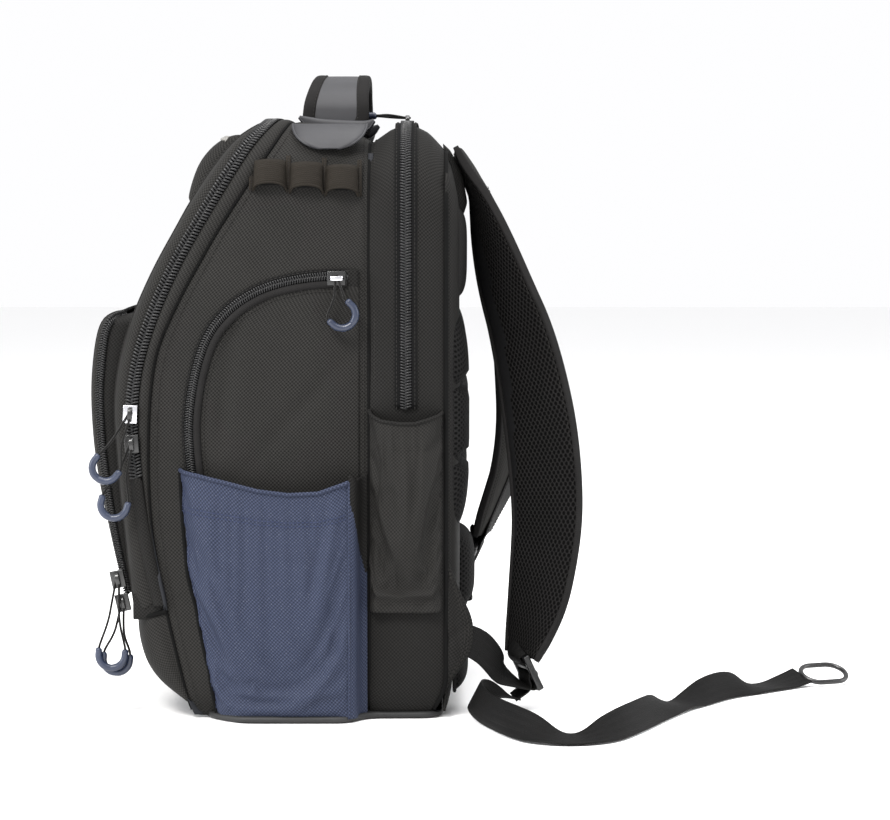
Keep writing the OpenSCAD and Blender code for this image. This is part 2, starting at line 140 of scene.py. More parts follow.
def surf(name, P, mats, thick=0.0, flip=False, sub=0, wrap_v=False, lining=False, offset=-1.0, uv=None, midx=None):
    """A quad grid through P[u][v]; normals point along du x dv unless flip."""
    P = arr(P)
    nu, nv = P.shape[:2]
    idx = np.arange(nu * nv).reshape(nu, nv)
    if wrap_v:
        b = np.roll(idx, -1, axis=1)
    else:
        b = idx[:, 1:]
    a = idx if wrap_v else idx[:, :-1]
    f = np.stack([a[:-1], a[1:], b[1:], b[:-1]], -1).reshape(-1, 4)
    if flip:
        f = f[:, ::-1]
    o = obj_from(name, P.reshape(-1, 3), f.tolist(), mats, uv=grid_uv(P) if uv is None else uv, midx=midx)
    if sub:
        m = o.modifiers.new("sub", "SUBSURF")
        m.levels = m.render_levels = sub
    if thick:
        m = o.modifiers.new("cloth", "SOLIDIFY")
        m.thickness = thick * MM
        m.offset = offset
        m.use_even_offset = False
        if lining:
            m.material_offset = len(mats) - 1 if isinstance(mats, (list, tuple)) else 0
            m.material_offset_rim = 0
    return o


def frames(p, up):
    """Tangent, side and normal along a path, with the normal kept close to up (one vector or one per point)."""
    t = tangents(p)
    up = np.broadcast_to(arr(up), t.shape)
    s = unit(np.cross(t, up))
    n = unit(np.cross(s, t))
    return t, s, n


def tube(name, p, r, mat, n=8, up=(0, 0, 1), flat=1.0, cap=True, closed=False):
    """Round or flattened cord along a path; r may vary along it."""
    p = arr(p)
    r = np.broadcast_to(np.asarray(r, float), (len(p),))
    if closed:
        q = np.vstack([p[-1:], p, p[:1]])
        t = unit(q[2:] - q[:-2])
    else:
        t = tangents(p)
    upv = np.broadcast_to(arr(up), t.shape).copy()
    bad = np.abs((t * unit(upv)).sum(1)) > 0.97
    upv[bad] = upv[bad] + np.array([0.6, 0.5, 0.3])
    s = unit(np.cross(t, upv))
    for i in range(1, len(s)):            # carry the side vector along
        v = s[i - 1] - t[i] * np.dot(s[i - 1], t[i])
        if up is not None and np.linalg.norm(v) > 1e-6 and flat == 1.0:
            s[i] = v / np.linalg.norm(v)
    m = unit(np.cross(s, t))
    a = np.arange(n) * 2 * math.pi / n
    ring = p[:, None, :] + r[:, None, None] * (np.cos(a)[None, :, None] * s[:, None, :] + flat * np.sin(a)[None, :, None] * m[:, None, :])
    V = ring.reshape(-1, 3)
    L = len(p)
    idx = np.arange(L * n).reshape(L, n)
    nx = np.roll(idx, -1, axis=1)
    if closed:
        i2, n2 = np.roll(idx, -1, axis=0), np.roll(nx, -1, axis=0)
        f = np.stack([idx, nx, n2, i2], -1).reshape(-1, 4).tolist()
    else:
        f = np.stack([idx[:-1], nx[:-1], nx[1:], idx[1:]], -1).reshape(-1, 4).tolist()
        if cap:
            f.append(idx[0][::-1].tolist())
            f.append(idx[-1].tolist())
    d = np.r_[0, np.cumsum(np.linalg.norm(np.diff(p, axis=0), axis=1))]
    uv = np.stack([np.repeat(a / (2 * math.pi), L).reshape(n, L).T * 2 * math.pi * r[:, None], np.repeat(d[:, None], n, 1)], -1).reshape(-1, 2)
    return obj_from(name, V, f, mat, uv=uv)


def ribbon(name, p, U, w, th, mats, nside=13, edge=0.35, bulge=0.0, midx_fn=None, sub=0, ends=True):
    """Flat webbing along p, U is the width direction, rounded selvedges."""
    p = arr(p)
    t = tangents(p)
    U = np.broadcast_to(arr(U), p.shape)
    n = unit(np.cross(t, unit(U)))
    u = unit(np.cross(n, t))
    w = np.broadcast_to(np.asarray(w, float), (len(p),))
    th = np.broadcast_to(np.asarray(th, float), (len(p),))
    k = np.linspace(0, math.pi, nside)
    prof = []
    for a in k:                              # top side left to right
        prof.append((math.copysign(abs(math.cos(a)) ** edge, math.cos(a)), max(math.sin(a), 0) ** 0.35))
    low = [(x, -y) for x, y in prof[::-1][1:-1]]
    prof = arr(prof + low)
    xs, ys = prof[:, 0], prof[:, 1]
    B = bulge * (1 - xs ** 2)
    ring = p[:, None, :] + (w / 2)[:, None, None] * xs[None, :, None] * u[:, None, :] + (th[:, None] / 2 * ys[None, :] + B[None, :])[..., None] * n[:, None, :]
    m = len(prof)
    L = len(p)
    idx = np.arange(L * m).reshape(L, m)
    nx = np.roll(idx, -1, axis=1)
    f = np.stack([idx[:-1], idx[1:], nx[1:], nx[:-1]], -1).reshape(-1, 4).tolist()
    if ends:
        f.append(idx[0].tolist())
        f.append(idx[-1][::-1].tolist())
    d = np.r_[0, np.cumsum(np.linalg.norm(np.diff(p, axis=0), axis=1))]
    uv = np.stack([np.repeat((xs * float(w.mean()) / 2)[None, :], L, 0), np.repeat(d[:, None], m, 1)], -1).reshape(-1, 2)
    mi = None
    if midx_fn is not None:
        mi = np.zeros(len(f), int)
        mm = arr([[midx_fn(j, xs[j], ys[j]) for j in range(m)]])
        mi[: (L - 1) * m] = np.repeat(mm, L - 1, 0).ravel()
    o = obj_from(name, ring.reshape(-1, 3), f, mats, uv=uv, midx=mi)
    if sub:
        md = o.modifiers.new("sub", "SUBSURF")
        md.levels = md.render_levels = sub
    return o


CAPS_A = np.arange(6) * math.pi / 3


def beads(name, C, A, B, N, la, lb, ln, mat):
    """Many small rounded bars in one mesh: centres C, long axes A, side axes B, normals N, half sizes la, lb, ln."""
    C, A, B, N = arr(C), arr(A), arr(B), arr(N)
    st = arr([[-1, 0.35], [-0.8, 0.85], [0, 1], [0.8, 0.85], [1, 0.35]])
    rings = []
    for x, r in st:
        for a in CAPS_A:
            rings.append((x, r * math.cos(a), r * math.sin(a)))
    rings = arr(rings)
    V = C[:, None, :] + la * rings[None, :, 0, None] * A[:, None, :] + lb * rings[None, :, 1, None] * B[:, None, :] + ln * rings[None, :, 2, None] * N[:, None, :]
    one = []
    for k in range(4):
        for j in range(6):
            one.append([k * 6 + j, k * 6 + (j + 1) % 6, (k + 1) * 6 + (j + 1) % 6, (k + 1) * 6 + j])
    one.append([0, 0 + 5, 4, 3])
    one.append([0, 3, 2, 1])
    one.append([24, 25, 26, 27])
    one.append([24, 27, 28, 29])
    one = arr(one).astype(int)
    F = (one[None] + (np.arange(len(C)) * 30)[:, None, None]).reshape(-1, 4)
    return obj_from(name, V.reshape(-1, 3), F.tolist(), mat)


def stitches(name, p, n, mat, pitch=3.4, ln=2.3, r=0.36, up=0.15):
    """A row of thread stitches along p on a surface with normals n."""
    p = arr(p)
    n = np.broadcast_to(arr(n), p.shape)
    k = max(int(length(p) / pitch), 2)
    q = resample(np.hstack([p, n]), k)
    c, nn = q[:, :3], unit(q[:, 3:])
    t = tangents(c)
    b = unit(np.cross(t, nn))
    return beads(name, c + nn * up, t, b, nn, ln / 2, r, r * 0.8, mat)


def coil(name, p, n, mats_unused, mat, pitch, half, side, lift=0.6, r=0.62):
    """One half of a coil zip: slanted elements on one side of the path, side +1 or -1."""
    p = arr(p)
    n = np.broadcast_to(arr(n), p.shape)
    k = max(int(length(p) / pitch), 2)
    q = resample(np.hstack([p, n]), 2 * k)[(0 if side > 0 else 1)::2]
    c, nn = q[:, :3], unit(q[:, 3:])
    t = tangents(c)
    b = unit(np.cross(nn, t))
    d = unit(b * side + t * 0.28)
    cc = c + b * side * (half * 0.5 - 0.45) + nn * lift
    return beads(name, cc, d, unit(np.cross(nn, d)), nn, half * 0.62, r * 1.05, r * 1.5, mat)


# ------------------------------------------------------------------ materials
def mat_new(name, rough, spec=0.5, metallic=0.0, sheen=0.0, coat=0.0):
    m = bpy.data.materials.new(name)
    m.use_nodes = True
    nt = m.node_tree
    b = nt.nodes["Principled BSDF"]
    b.inputs["Roughness"].default_value = rough
    b.inputs["Specular IOR Level"].default_value = spec
    b.inputs["Metallic"].default_value = metallic
    b.inputs["Sheen Weight"].default_value = sheen
    b.inputs["Sheen Roughness"].default_value = 0.45
    b.inputs["Coat Weight"].default_value = coat
    return m, nt, b


class G:
    """Shorthand for building a node tree."""

    def __init__(self, nt):
        self.nt = nt

    def node(self, kind, **kw):
        n = self.nt.nodes.new(kind)
        for k, v in kw.items():
            setattr(n, k, v)
        return n

    def math(self, op, a, b=None, c=None, clamp=False):
        n = self.node("ShaderNodeMath", operation=op)
        n.use_clamp = clamp
        for i, v in enumerate((a, b, c)):
            if v is None:
                continue
            if isinstance(v, (int, float)):
                n.inputs[i].default_value = v
            else:
                self.nt.links.new(v, n.inputs[i])
        return n.outputs[0]

    def vmath(self, op, a, b=None, scale=None):
        n = self.node("ShaderNodeVectorMath", operation=op)
        for i, v in enumerate((a, b)):
            if v is None:
                continue
            if isinstance(v, (tuple, list)):
                n.inputs[i].default_value = v
            else:
                self.nt.links.new(v, n.inputs[i])
        if scale is not None:
            n.inputs["Scale"].default_value = scale
        return n.outputs["Value"] if op in ("LENGTH", "DOT_PRODUCT", "DISTANCE") else n.outputs["Vector"]

    def uv(self):
        return self.node("ShaderNodeUVMap", uv_map="UVMap").outputs[0]

    def obj(self):
        return self.node("ShaderNodeTexCoord").outputs["Object"]

    def sep(self, v):
        n = self.node("ShaderNodeSeparateXYZ")
        self.nt.links.new(v, n.inputs[0])
        return n.outputs[0], n.outputs[1], n.outputs[2]

    def noise(self, v, scale, detail=3.0, rough=0.55, out="Fac"):
        n = self.node("ShaderNodeTexNoise")
        n.inputs["Scale"].default_value = scale
        n.inputs["Detail"].default_value = detail
        n.inputs["Roughness"].default_value = rough
        if v is not None:
            self.nt.links.new(v, n.inputs["Vector"])
        return n.outputs[0]

    def ramp(self, f, stops):
        n = self.node("ShaderNodeValToRGB")
        cr = n.color_ramp
        while len(cr.elements) < len(stops):
            cr.elements.new(0.5)
        for e, (p, c) in zip(cr.elements, stops):
            e.position = p
            e.color = (*c, 1) if len(c) == 3 else c
        self.nt.links.new(f, n.inputs[0])
        return n.outputs[0]

    def mix(self, f, a, b):
        n = self.node("ShaderNodeMix", data_type="RGBA")
        if isinstance(f, (int, float)):
            n.inputs[0].default_value = f
        else:
            self.nt.links.new(f, n.inputs[0])
        for i, v in ((6, a), (7, b)):
            if isinstance(v, tuple):
                n.inputs[i].default_value = (*v, 1)
            else:
                self.nt.links.new(v, n.inputs[i])
        return n.outputs[2]

    def bump(self, h, strength, dist, prev=None):
        n = self.node("ShaderNodeBump")
        n.inputs["Strength"].default_value = strength
        n.inputs["Distance"].default_value = dist
        self.nt.links.new(h, n.inputs["Height"])
        if prev is not None:
            self.nt.links.new(prev, n.inputs["Normal"])
        return n.outputs[0]


def twill(name, dark, light, pitch=2.1, rough=0.82, bump=0.5, sheen=0.12, wear=0.5, fleck=None, bias=0.0):
    """Ballistic nylon: a lattice of short floats on the diagonal, each thread with its own shade."""
    m, nt, b = mat_new(name, rough, spec=0.08, sheen=sheen)
    g = G(nt)
    uv = g.uv()
    x, y, _ = g.sep(g.vmath("SCALE", uv, scale=1000.0 / pitch))
    wob = g.noise(uv, 90.0, 2.0)
    wo = g.math("MULTIPLY", g.math("SUBTRACT", wob, 0.5), 0.5)
    px = g.math("ADD", x, wo)
    py = g.math("SUBTRACT", y, wo)
    sx = g.math("SINE", g.math("MULTIPLY", px, math.pi))
    sy = g.math("SINE", g.math("MULTIPLY", py, math.pi))
    lat = g.math("MULTIPLY", sx, sy)                        # the lattice
    lat = g.math("MULTIPLY_ADD", lat, 0.5, 0.5)
    fine = g.noise(uv, 1900.0, 2.0, 0.7)
    h = g.math("ADD", g.math("MULTIPLY", lat, 0.8), g.math("MULTIPLY", fine, 0.4))
    big = g.noise(uv, 11.0, 4.0, 0.6)
    big2 = g.noise(uv, 3.5, 3.0, 0.5)
    f = g.math("ADD", g.math("MULTIPLY", h, 0.72), g.math("MULTIPLY", g.math("ADD", big, big2), 0.22 * wear))
    f = g.math("ADD", f, bias)
    mid = tuple((a + c) / 2 for a, c in zip(dark, light))
    stops = [(0.22, dark), (0.60, mid), (0.95, light)]
    col = g.ramp(f, stops)
    if fleck is not None:
        sp = g.noise(uv, 1300.0, 1.0, 0.5)
        msk = g.math("MULTIPLY", g.math("GREATER_THAN", sp, 0.66), g.math("GREATER_THAN", lat, 0.62))
        col = g.mix(g.math("MULTIPLY", msk, 0.55), col, fleck)
    nt.links.new(col, b.inputs["Base Color"])
    ro = g.math("MULTIPLY_ADD", big, 0.16, rough - 0.1)
    nt.links.new(ro, b.inputs["Roughness"])
    n1 = g.bump(h, bump, 0.0006)
    n2 = g.bump(g.noise(uv, 26.0, 3.0), 0.12, 0.004, n1)
    nt.links.new(n2, b.inputs["Normal"])
    return m


def plain_cloth(name, col, rough=0.85, pitch=1.1, bump=0.35, sheen=0.15, var=0.35):
    """Fine plain weave, such as lining, binding and thread-like trim."""
    m, nt, b = mat_new(name, rough, spec=0.07, sheen=sheen)
    g = G(nt)
    uv = g.uv()
    x, y, _ = g.sep(g.vmath("SCALE", uv, scale=1000.0 * 2 * math.pi / pitch))
    h = g.math("MULTIPLY_ADD", g.math("MULTIPLY", g.math("SINE", x), g.math("SINE", y)), 0.5, 0.5)
    nz = g.noise(uv, 30.0, 4.0)
    f = g.math("ADD", g.math("MULTIPLY", h, 0.5), g.math("MULTIPLY", nz, 0.5))
    lo = tuple(c * (1 - var) for c in col)
    hi = tuple(c * (1 + var) for c in col)
    nt.links.new(g.ramp(f, [(0.2, lo), (0.8, hi)]), b.inputs["Base Color"])
    nt.links.new(g.bump(h, bump, 0.0004), b.inputs["Normal"])
    return m


def air_mesh(name, thread, hole, p=4.0, r=0.95):
    """Spacer mesh with rows of small round holes set in a hexagon pattern."""
    m, nt, b = mat_new(name, 0.85, spec=0.06, sheen=0.0)
    g = G(nt)
    uv = g.uv()
    sx, sy = 1000.0 / p, 1000.0 / (p * 1.55)

    def dots(off):
        v = g.vmath("ADD", g.vmath("MULTIPLY", uv, (sx, sy, 0)), (off, off, 0.5))
        v = g.vmath("SUBTRACT", g.vmath("FRACTION", v), (0.5, 0.5, 0.5))
        return g.vmath("LENGTH", g.vmath("MULTIPLY", v, (p, p * 1.55 * 0.8, 0)))
    d = g.math("MINIMUM", dots(0.0), dots(0.5))
    k = g.math("SMOOTH_MIN", d, 2.2, 0.2)
    e = g.node("ShaderNodeMapRange")
    e.inputs["From Min"].default_value = r * 0.75
    e.inputs["From Max"].default_value = r * 1.35
    nt.links.new(k, e.inputs["Value"])
    mask = e.outputs[0]
    fine = g.noise(uv, 1500.0, 2.0)
    big = g.noise(uv, 14.0, 3.0)
    tc = g.ramp(g.math("ADD", g.math("MULTIPLY", fine, 0.6), g.math("MULTIPLY", big, 0.4)), [(0.3, tuple(c * 0.6 for c in thread)), (0.75, tuple(c * 1.35 for c in thread))])
    nt.links.new(g.mix(mask, hole, tc), b.inputs["Base Color"])
    h = g.math("ADD", mask, g.math("MULTIPLY", fine, 0.25))
    nt.links.new(g.bump(h, 0.8, 0.0012), b.inputs["Normal"])
    return m


def webbing_mat(name, col, p=1.5, rough=0.6):
    """Ribbed webbing: cross ribs broken into a herringbone of two rows."""
    m, nt, b = mat_new(name, rough, spec=0.1, sheen=0.0)
    g = G(nt)
    uv = g.uv()
    x, y, _ = g.sep(g.vmath("SCALE", uv, scale=1000.0))
    zig = g.math("PINGPONG", x, 3.1)
    a = g.math("SINE", g.math("MULTIPLY", g.math("ADD", y, g.math("MULTIPLY", zig, 0.8)), 2 * math.pi / p))
    cb = g.math("SINE", g.math("MULTIPLY", x, 2 * math.pi / 1.55))
    h = g.math("ADD", g.math("MULTIPLY", a, 0.35), g.math("MULTIPLY", cb, 0.2))
    h = g.math("ADD", h, 0.5)
    nz = g.noise(uv, 25.0, 4.0)
    f = g.math("ADD", g.math("MULTIPLY", h, 0.7), g.math("MULTIPLY", nz, 0.35))
    nt.links.new(g.ramp(f, [(0.2, tuple(c * 0.45 for c in col)), (0.9, tuple(c * 1.8 for c in col))]), b.inputs["Base Color"])
    nt.links.new(g.bump(h, 0.6, 0.0007), b.inputs["Normal"])
    return m


def plastic(name, col, rough=0.35, grain=0.25, coat=0.0, spec=0.5, var=0.2, metallic=0.0):
    """Moulded plastic, rubber or enamelled metal with a fine grain and rubbed patches."""
    m, nt, b = mat_new(name, rough, spec=spec, coat=coat, metallic=metallic)
    g = G(nt)
    o = g.obj()
    fine = g.noise(o, 2600.0, 3.0)
    big = g.noise(o, 45.0, 4.0)
    lo = tuple(c * (1 - var) for c in col)
    hi = tuple(min(c * (1 + var) + 0.004, 1) for c in col)
    nt.links.new(g.ramp(big, [(0.3, lo), (0.7, hi)]), b.inputs["Base Color"])
    nt.links.new(g.math("MULTIPLY_ADD", big, 0.22, rough - 0.1), b.inputs["Roughness"])
    nt.links.new(g.bump(fine, grain, 0.0003), b.inputs["Normal"])
    return m


NYLON = twill("nylon_twill", (0.0008, 0.0008, 0.0008), (0.0290, 0.0280, 0.0265), pitch=1.45, wear=0.8, rough=0.72, sheen=0.0)
NYLON2 = twill("nylon_twill_deep", (0.0007, 0.0007, 0.0007), (0.0200, 0.0193, 0.0185), pitch=1.45, wear=0.8, rough=0.72, sheen=0.0)
BLUE = twill("navy_twill", (0.0060, 0.0080, 0.0150), (0.0500, 0.0600, 0.1000), pitch=1.45, wear=0.7, rough=0.66, fleck=(0.16, 0.17, 0.21), sheen=0.0)
MESHM = air_mesh("air_mesh", (0.0115, 0.0112, 0.0112), (0.0008, 0.0008, 0.0008))
MESHS = air_mesh("air_mesh_strap", (0.0125, 0.0120, 0.0118), (0.0008, 0.0008, 0.0008), p=4.0, r=1.15)
BIND = plain_cloth("binding_tape", (0.0125, 0.0120, 0.0120), pitch=1.4, sheen=0.0)
# darker smooth knit on the straps' inner edge; partly real fabric and partly painted shade where the strap curves away
SMOOTHB = plain_cloth("smooth_knit_and_painted_shade", (0.0075, 0.0075, 0.0080), pitch=0.7, sheen=0.0, rough=0.9, bump=0.2)
# dark piping cloth; it also serves as painted shade, filling each pen loop's mouth
DARKB = plain_cloth("dark_piping_and_loop_shade", (0.0045, 0.0045, 0.0045), pitch=1.2, sheen=0.0)
LINING = plain_cloth("lining", (0.020, 0.021, 0.024), rough=0.6, pitch=0.9, bump=0.15, sheen=0.0)
TAPE = plain_cloth("zip_tape", (0.0060, 0.0060, 0.0062), rough=0.8, pitch=1.0, sheen=0.0)
WEB = webbing_mat("webbing", (0.0042, 0.0041, 0.0041))
LOOPW = webbing_mat("loop_webbing", (0.0150, 0.0125, 0.0098), p=1.2, rough=0.7)
COIL = plastic("zip_coil", (0.0075, 0.0075, 0.0080), rough=0.30, grain=0.05, spec=0.30)
COILW = plastic("pale_coil", (0.17, 0.165, 0.155), rough=0.4, grain=0.1)
THREAD = plain_cloth("thread", (0.020, 0.019, 0.018), rough=0.6, pitch=0.8, sheen=0.0)
THREADB = plain_cloth("thread_blue", (0.030, 0.038, 0.075), rough=0.6, pitch=0.8, sheen=0.0)
RUBG = plastic("grey_rubber", (0.017, 0.017, 0.020), rough=0.55, grain=0.35, spec=0.4, var=0.12)
RUBP = plastic("grey_panel", (0.026, 0.026, 0.029), rough=0.6, grain=0.3, spec=0.35, var=0.12)
RUBB = plastic("blue_rubber", (0.015, 0.022, 0.046), rough=0.34, grain=0.12, spec=0.5, var=0.25)
GLOSS = plastic("black_plastic", (0.0045, 0.0045, 0.005), rough=0.28, grain=0.12, spec=0.55)
BLACKM = plastic("black_enamel", (0.005, 0.005, 0.005), rough=0.25, grain=0.05, spec=0.7)
CHROME = plastic("bright_metal", (0.72, 0.72, 0.75), rough=0.16, grain=0.04, metallic=1.0, var=0.05)
CORDM = plain_cloth("pull_cord", (0.007, 0.0068, 0.0066), rough=0.7, pitch=1.0, bump=0.5)
BASEM = plastic("base_rubber", (0.006, 0.006, 0.0065), rough=0.6, grain=0.6)
HDPE = plastic("frame_plastic", (0.55, 0.55, 0.53), rough=0.5, grain=0.2)


# ------------------------------------------------------------------ side-view lines (Y, Z) in mm, as in the CAD
ZIP = smooth([[-12, 463], [-28, 446], [-43, 423], [-61, 394], [-81, 360], [-97, 327], [-107, 301], [-114, 278], [-118, 254], [-119, 228], [-117, 201], [-112, 160], [-105, 120], [-98, 92]], 2)
LID = smooth([[-14, 464.5], [-24, 461], [-42, 449], [-59, 427], [-77, 401], [-91, 374], [-105.5, 345], [-118.5, 318], [-128.5, 290], [-135, 260], [-136, 230], [-134, 200], [-130, 160], [-126, 120], [-121, 77]], 2)
WELT = smooth([[2, 463], [-19, 428], [-54, 376], [-94, 303], [-104, 266], [-107, 201], [-104, 140], [-92, 78], [-76, 12], [-72, 2]], 2)
LOW = smooth([[-121, 76], [-117, 56], [-110, 38], [-99, 25], [-84, 15], [-69, 7], [-56, 1.5]], 2)
FLAP = smooth([[-128, 315.5], [-139, 314], [-147, 307], [-151, 292], [-153.2, 272], [-154, 252], [-153, 225], [-151, 200], [-147, 170], [-141, 141], [-135, 116], [-128, 91]], 2)
PZIP = smooth([[-128, 313], [-137, 310.5], [-143, 300], [-146, 272], [-147.5, 250], [-146.5, 222], [-144.5, 198], [-140.5, 168], [-136, 140], [-131, 116], [-126.5, 95]], 2)
HW = 148.0


def at_z(line, z):
    l = line[np.argsort(line[:, 1])]
    return np.interp(z, l[:, 1], l[:, 0])


def zip_y(z):
    return at_z(ZIP, z)


def welt_y(z):
    return at_z(WELT, z)


def top_drop(y):
    """How far the top line falls below the zip's top at a depth y."""
    return np.interp(y, [-12, 4, 40, 64, 66, 80, 95, 110, 124], [0, 1.5, 8, 15.5, 17, 9.5, 6.5, 12, 23])


def section(n_side=60, n_corner=18, n_top=24, zlow=2.0):
    """Half section from the foot of the right side to the middle of the top: x, z and the outward normal."""
    z = np.linspace(zlow, 405, n_side)
    x = HW - 6 * (1 - sstep(z, 0, 26)) ** 2
    a = np.linspace(0, math.pi / 2, n_corner + 1)[1:]
    xc = 100 + 48 * np.cos(a) ** 0.92
    zc = 405 + 58 * np.sin(a) ** 0.92
    xt = np.linspace(100, 0, n_top + 1)[1:]
    zt = 463 + 2.0 * (1 - (xt / 100) ** 2)
    X = np.r_[x, xc, xt]
    Z = np.r_[z, zc, zt]
    d = np.gradient(np.stack([X, Z], 1), axis=0)
    N = unit(np.stack([d[:, 1], -d[:, 0]], 1))
    return X, Z, N


def sec_x(z):
    X, Z, _ = section()
    k = len(Z) - 24
    return np.interp(z, Z[:k], X[:k])


def full(a, neg=False):
    """Mirror a half array (right foot to middle) to the whole arch."""
    m = a[:-1][::-1].copy()
    return np.concatenate([a, -m if neg else m], 0)


def arch_surface(y0, y1, nt, bulge, wob=0.0, seed=1, pinch=1.5, inset=0.0, zlow=2.0, power=0.55):
    """Sheet over right side, top and left side between the front boundary y0(z) and rear boundary y1(z)."""
    X, Z, N = section(zlow=zlow)
    X, NX, Z, NZ = full(X, True), full(N[:, 0], True), full(Z), full(N[:, 1])
    t = np.linspace(0, 1, nt)
    f0 = y0(np.minimum(Z, 463)) if callable(y0) else np.full_like(Z, y0)
    f1 = y1(np.minimum(Z, 463)) if callable(y1) else np.full_like(Z, y1)
    Y = f0[:, None] + (f1 - f0)[:, None] * t[None]
    w = sstep(Z, 330, 463)[:, None]
    b = -pinch + (bulge + pinch) * np.sin(np.pi * np.clip(t, 0, 1)) ** power
    b = b[None] * np.ones_like(Y) - inset
    if wob:
        b = b + wob * wave_noise(Y / 26.0, Z[:, None] / 34.0 + np.sign(X)[:, None] * 3, seed) * np.sin(np.pi * t)[None] ** 0.4
    foot = sstep(Z, 0, 40)[:, None]
    P = np.stack([X[:, None] + NX[:, None] * b * (0.3 + 0.7 * foot), Y, Z[:, None] - top_drop(Y) * w + NZ[:, None] * b], -1)
    return P


def line_on_section(yfun, n=None, half=None, lift=0.0):
    """A line over both sides and the top at depth yfun(z), with outward normals."""
    X, Z, N = section(90, 26, 30)
    X, NX, Z, NZ = full(X, True), full(N[:, 0], True), full(Z), full(N[:, 1])
    Y = yfun(np.minimum(Z, 463)) if callable(yfun) else np.full_like(Z, yfun)
    w = sstep(Z, 330, 463)
    P = np.stack([X + NX * lift, Y, Z - top_drop(Y) * w + NZ * lift], -1)
    return P, np.stack([NX, 0 * NX, NZ], -1), Z


def put(o, body, slot_name, *nodes):
    """The piece rides a body and stands for its CAD nodes; slot_name is not used."""
    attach(o, body)
    if nodes:
        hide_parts(*nodes)
    return o


def gnormal(P, flip=False):
    du = np.gradient(P, axis=0)
    dv = np.gradient(P, axis=1)
    n = unit(np.cross(du, dv))
    return -n if flip else n


def loft(E, C, p=6.0, ns=16, nf=30):
    """Rows from the right edge E over a rounded corner to the middle C, mirrored to the left edge."""
    E, C = arr(E), arr(C)
    th = np.r_[np.linspace(0, math.pi / 4, ns), np.linspace(math.pi / 4, math.pi / 2, nf)[1:]]
    r = (np.cos(th) ** p + np.sin(th) ** p) ** (-1 / p)
    c, s = r * np.cos(th), r * np.sin(th)
    c[-1] = 0
    x = E[:, :1] * c[None]
    y = E[:, 1:2] + (C[:, 1:2] - E[:, 1:2]) * s[None]
    z = E[:, 2:3] + (C[:, 2:3] - E[:, 2:3]) * s[None]
    R = np.stack([x, y, z], -1)
    L = R[:, :-1][:, ::-1].copy()
    L[..., 0] *= -1
    return np.concatenate([R, L], 1)


# ------------------------------------------------------------------ camera, floor and light
cam_data = bpy.data.cameras.new("camera")
cam_data.sensor_width = 36.0
cam_data.lens = 2990.0 / 890.0 * 36.0
cam_data.clip_end = 30
cam = bpy.data.objects.new("camera", cam_data)
cam.location = (2.450, 0.1232, 0.400)
cam.rotation_euler = (math.radians(90 - 3.97), 0, math.radians(90))
scene.collection.objects.link(cam)
scene.camera = cam

fm, fnt, fb = mat_new("floor_pale", 0.75, spec=0.2)
fb.inputs["Base Color"].default_value = (0.93, 0.93, 0.93, 1)
floor = obj_from("floor", [[-9000, -6000, -0.4], [6000, -6000, -0.4], [6000, 6000, -0.4], [-9000, 6000, -0.4]], [[0, 1, 2, 3]], fm)
w = bpy.data.worlds.new("world")
scene.world = w
w.use_nodes = True
w.node_tree.nodes["Background"].inputs[0].default_value = (0.99, 0.99, 1.0, 1)
w.node_tree.nodes["Background"].inputs[1].default_value = 1.0
bpy.context.scene.view_settings.view_transform = "Standard"


def area(name, loc, target, size, power, col=(1, 1, 1)):
    l = bpy.data.lights.new(name, "AREA")
    l.shape = "RECTANGLE"
    l.size, l.size_y = size
    l.energy = power
    l.color = col
    o = bpy.data.objects.new(name, l)
    o.location = loc
    o.rotation_euler = (Vector(target) - Vector(loc)).to_track_quat("-Z", "Y").to_euler()
    scene.collection.objects.link(o)
    return o


area("key", (1.9, -0.9, 2.3), (0, 0.05, 0.25), (1.1, 0.9), 95, (1.0, 0.98, 0.95))
area("top", (0.3, 0.5, 2.6), (0, 0.05, 0.2), (1.6, 1.6), 62)
area("front_fill", (0.9, -2.4, 0.9), (0, 0, 0.25), (1.3, 1.0), 40, (0.96, 0.98, 1.0))
area("back_fill", (0.2, 2.6, 1.1), (0, 0.1, 0.25), (1.5, 1.3), 30)

# ------------------------------------------------------------------ the loose webbing tail (the one free cord)
TAIL = [[[109, 177, 10], [1, .3, 0]], [[114, 168, 11], [.9, .4, .2]], [[120, 159, 14], [.7, .4, .6]], [[128, 151, 17.5], [.3, .5, .9]], [[139, 146.5, 18.5], [.1, .5, .95]],
        [[152, 146.5, 17], [0, .4, .95]], [[168, 150, 14.8], [0, .35, .95]], [[186, 155.5, 13.2], [0, .3, .95]], [[205, 163, 12.6], [-.1, .3, .95]], [[226, 172, 12.2], [-.2, .4, .9]],
        [[243, 184, 10], [-.5, .3, .7]], [[254, 199, 6], [-1, 0, .35]], [[257, 216, 2.6], [-1, 0, .1]], [[252, 234, 4.6], [-1, -.2, .25]], [[238, 250, 9.5], [-.7, -.5, .8]],
        [[218, 263, 11.4], [-.4, -.5, 1]], [[194, 274, 11.4], [-.4, -.5, 1]], [[168, 284, 10.8], [-.5, -.5, .9]], [[142, 293, 9], [-.6, -.7, .7]], [[118, 302, 5.2], [-.5, -1, .3]],
        [[99, 312, 2.6], [-.4, -1, 0]], [[84, 324, 5.8], [-.5, -.9, .4]], [[69, 337, 10], [-.4, -.7, .9]], [[52, 350, 10.6], [-.4, -.6, 1]], [[36, 364, 8.6], [-.5, -.6, .7]],
        [[21, 378, 3.2], [-.7, -.7, .1]], [[8, 393, 2.6], [-.7, -.7, .05]], [[-4, 407, 4.4], [-.85, -.5, .3]], [[-12, 419.5, 8.2], [-.85, -.4, .4]]]
tq = smooth(arr([a + b for a, b in TAIL]), 2)
TL = length(arr([a for a, _ in TAIL]))


def u_perp(p, U):
    t = tangents(p)
    U = unit(U)
    return unit(U - t * (U * t).sum(1, keepdims=True))


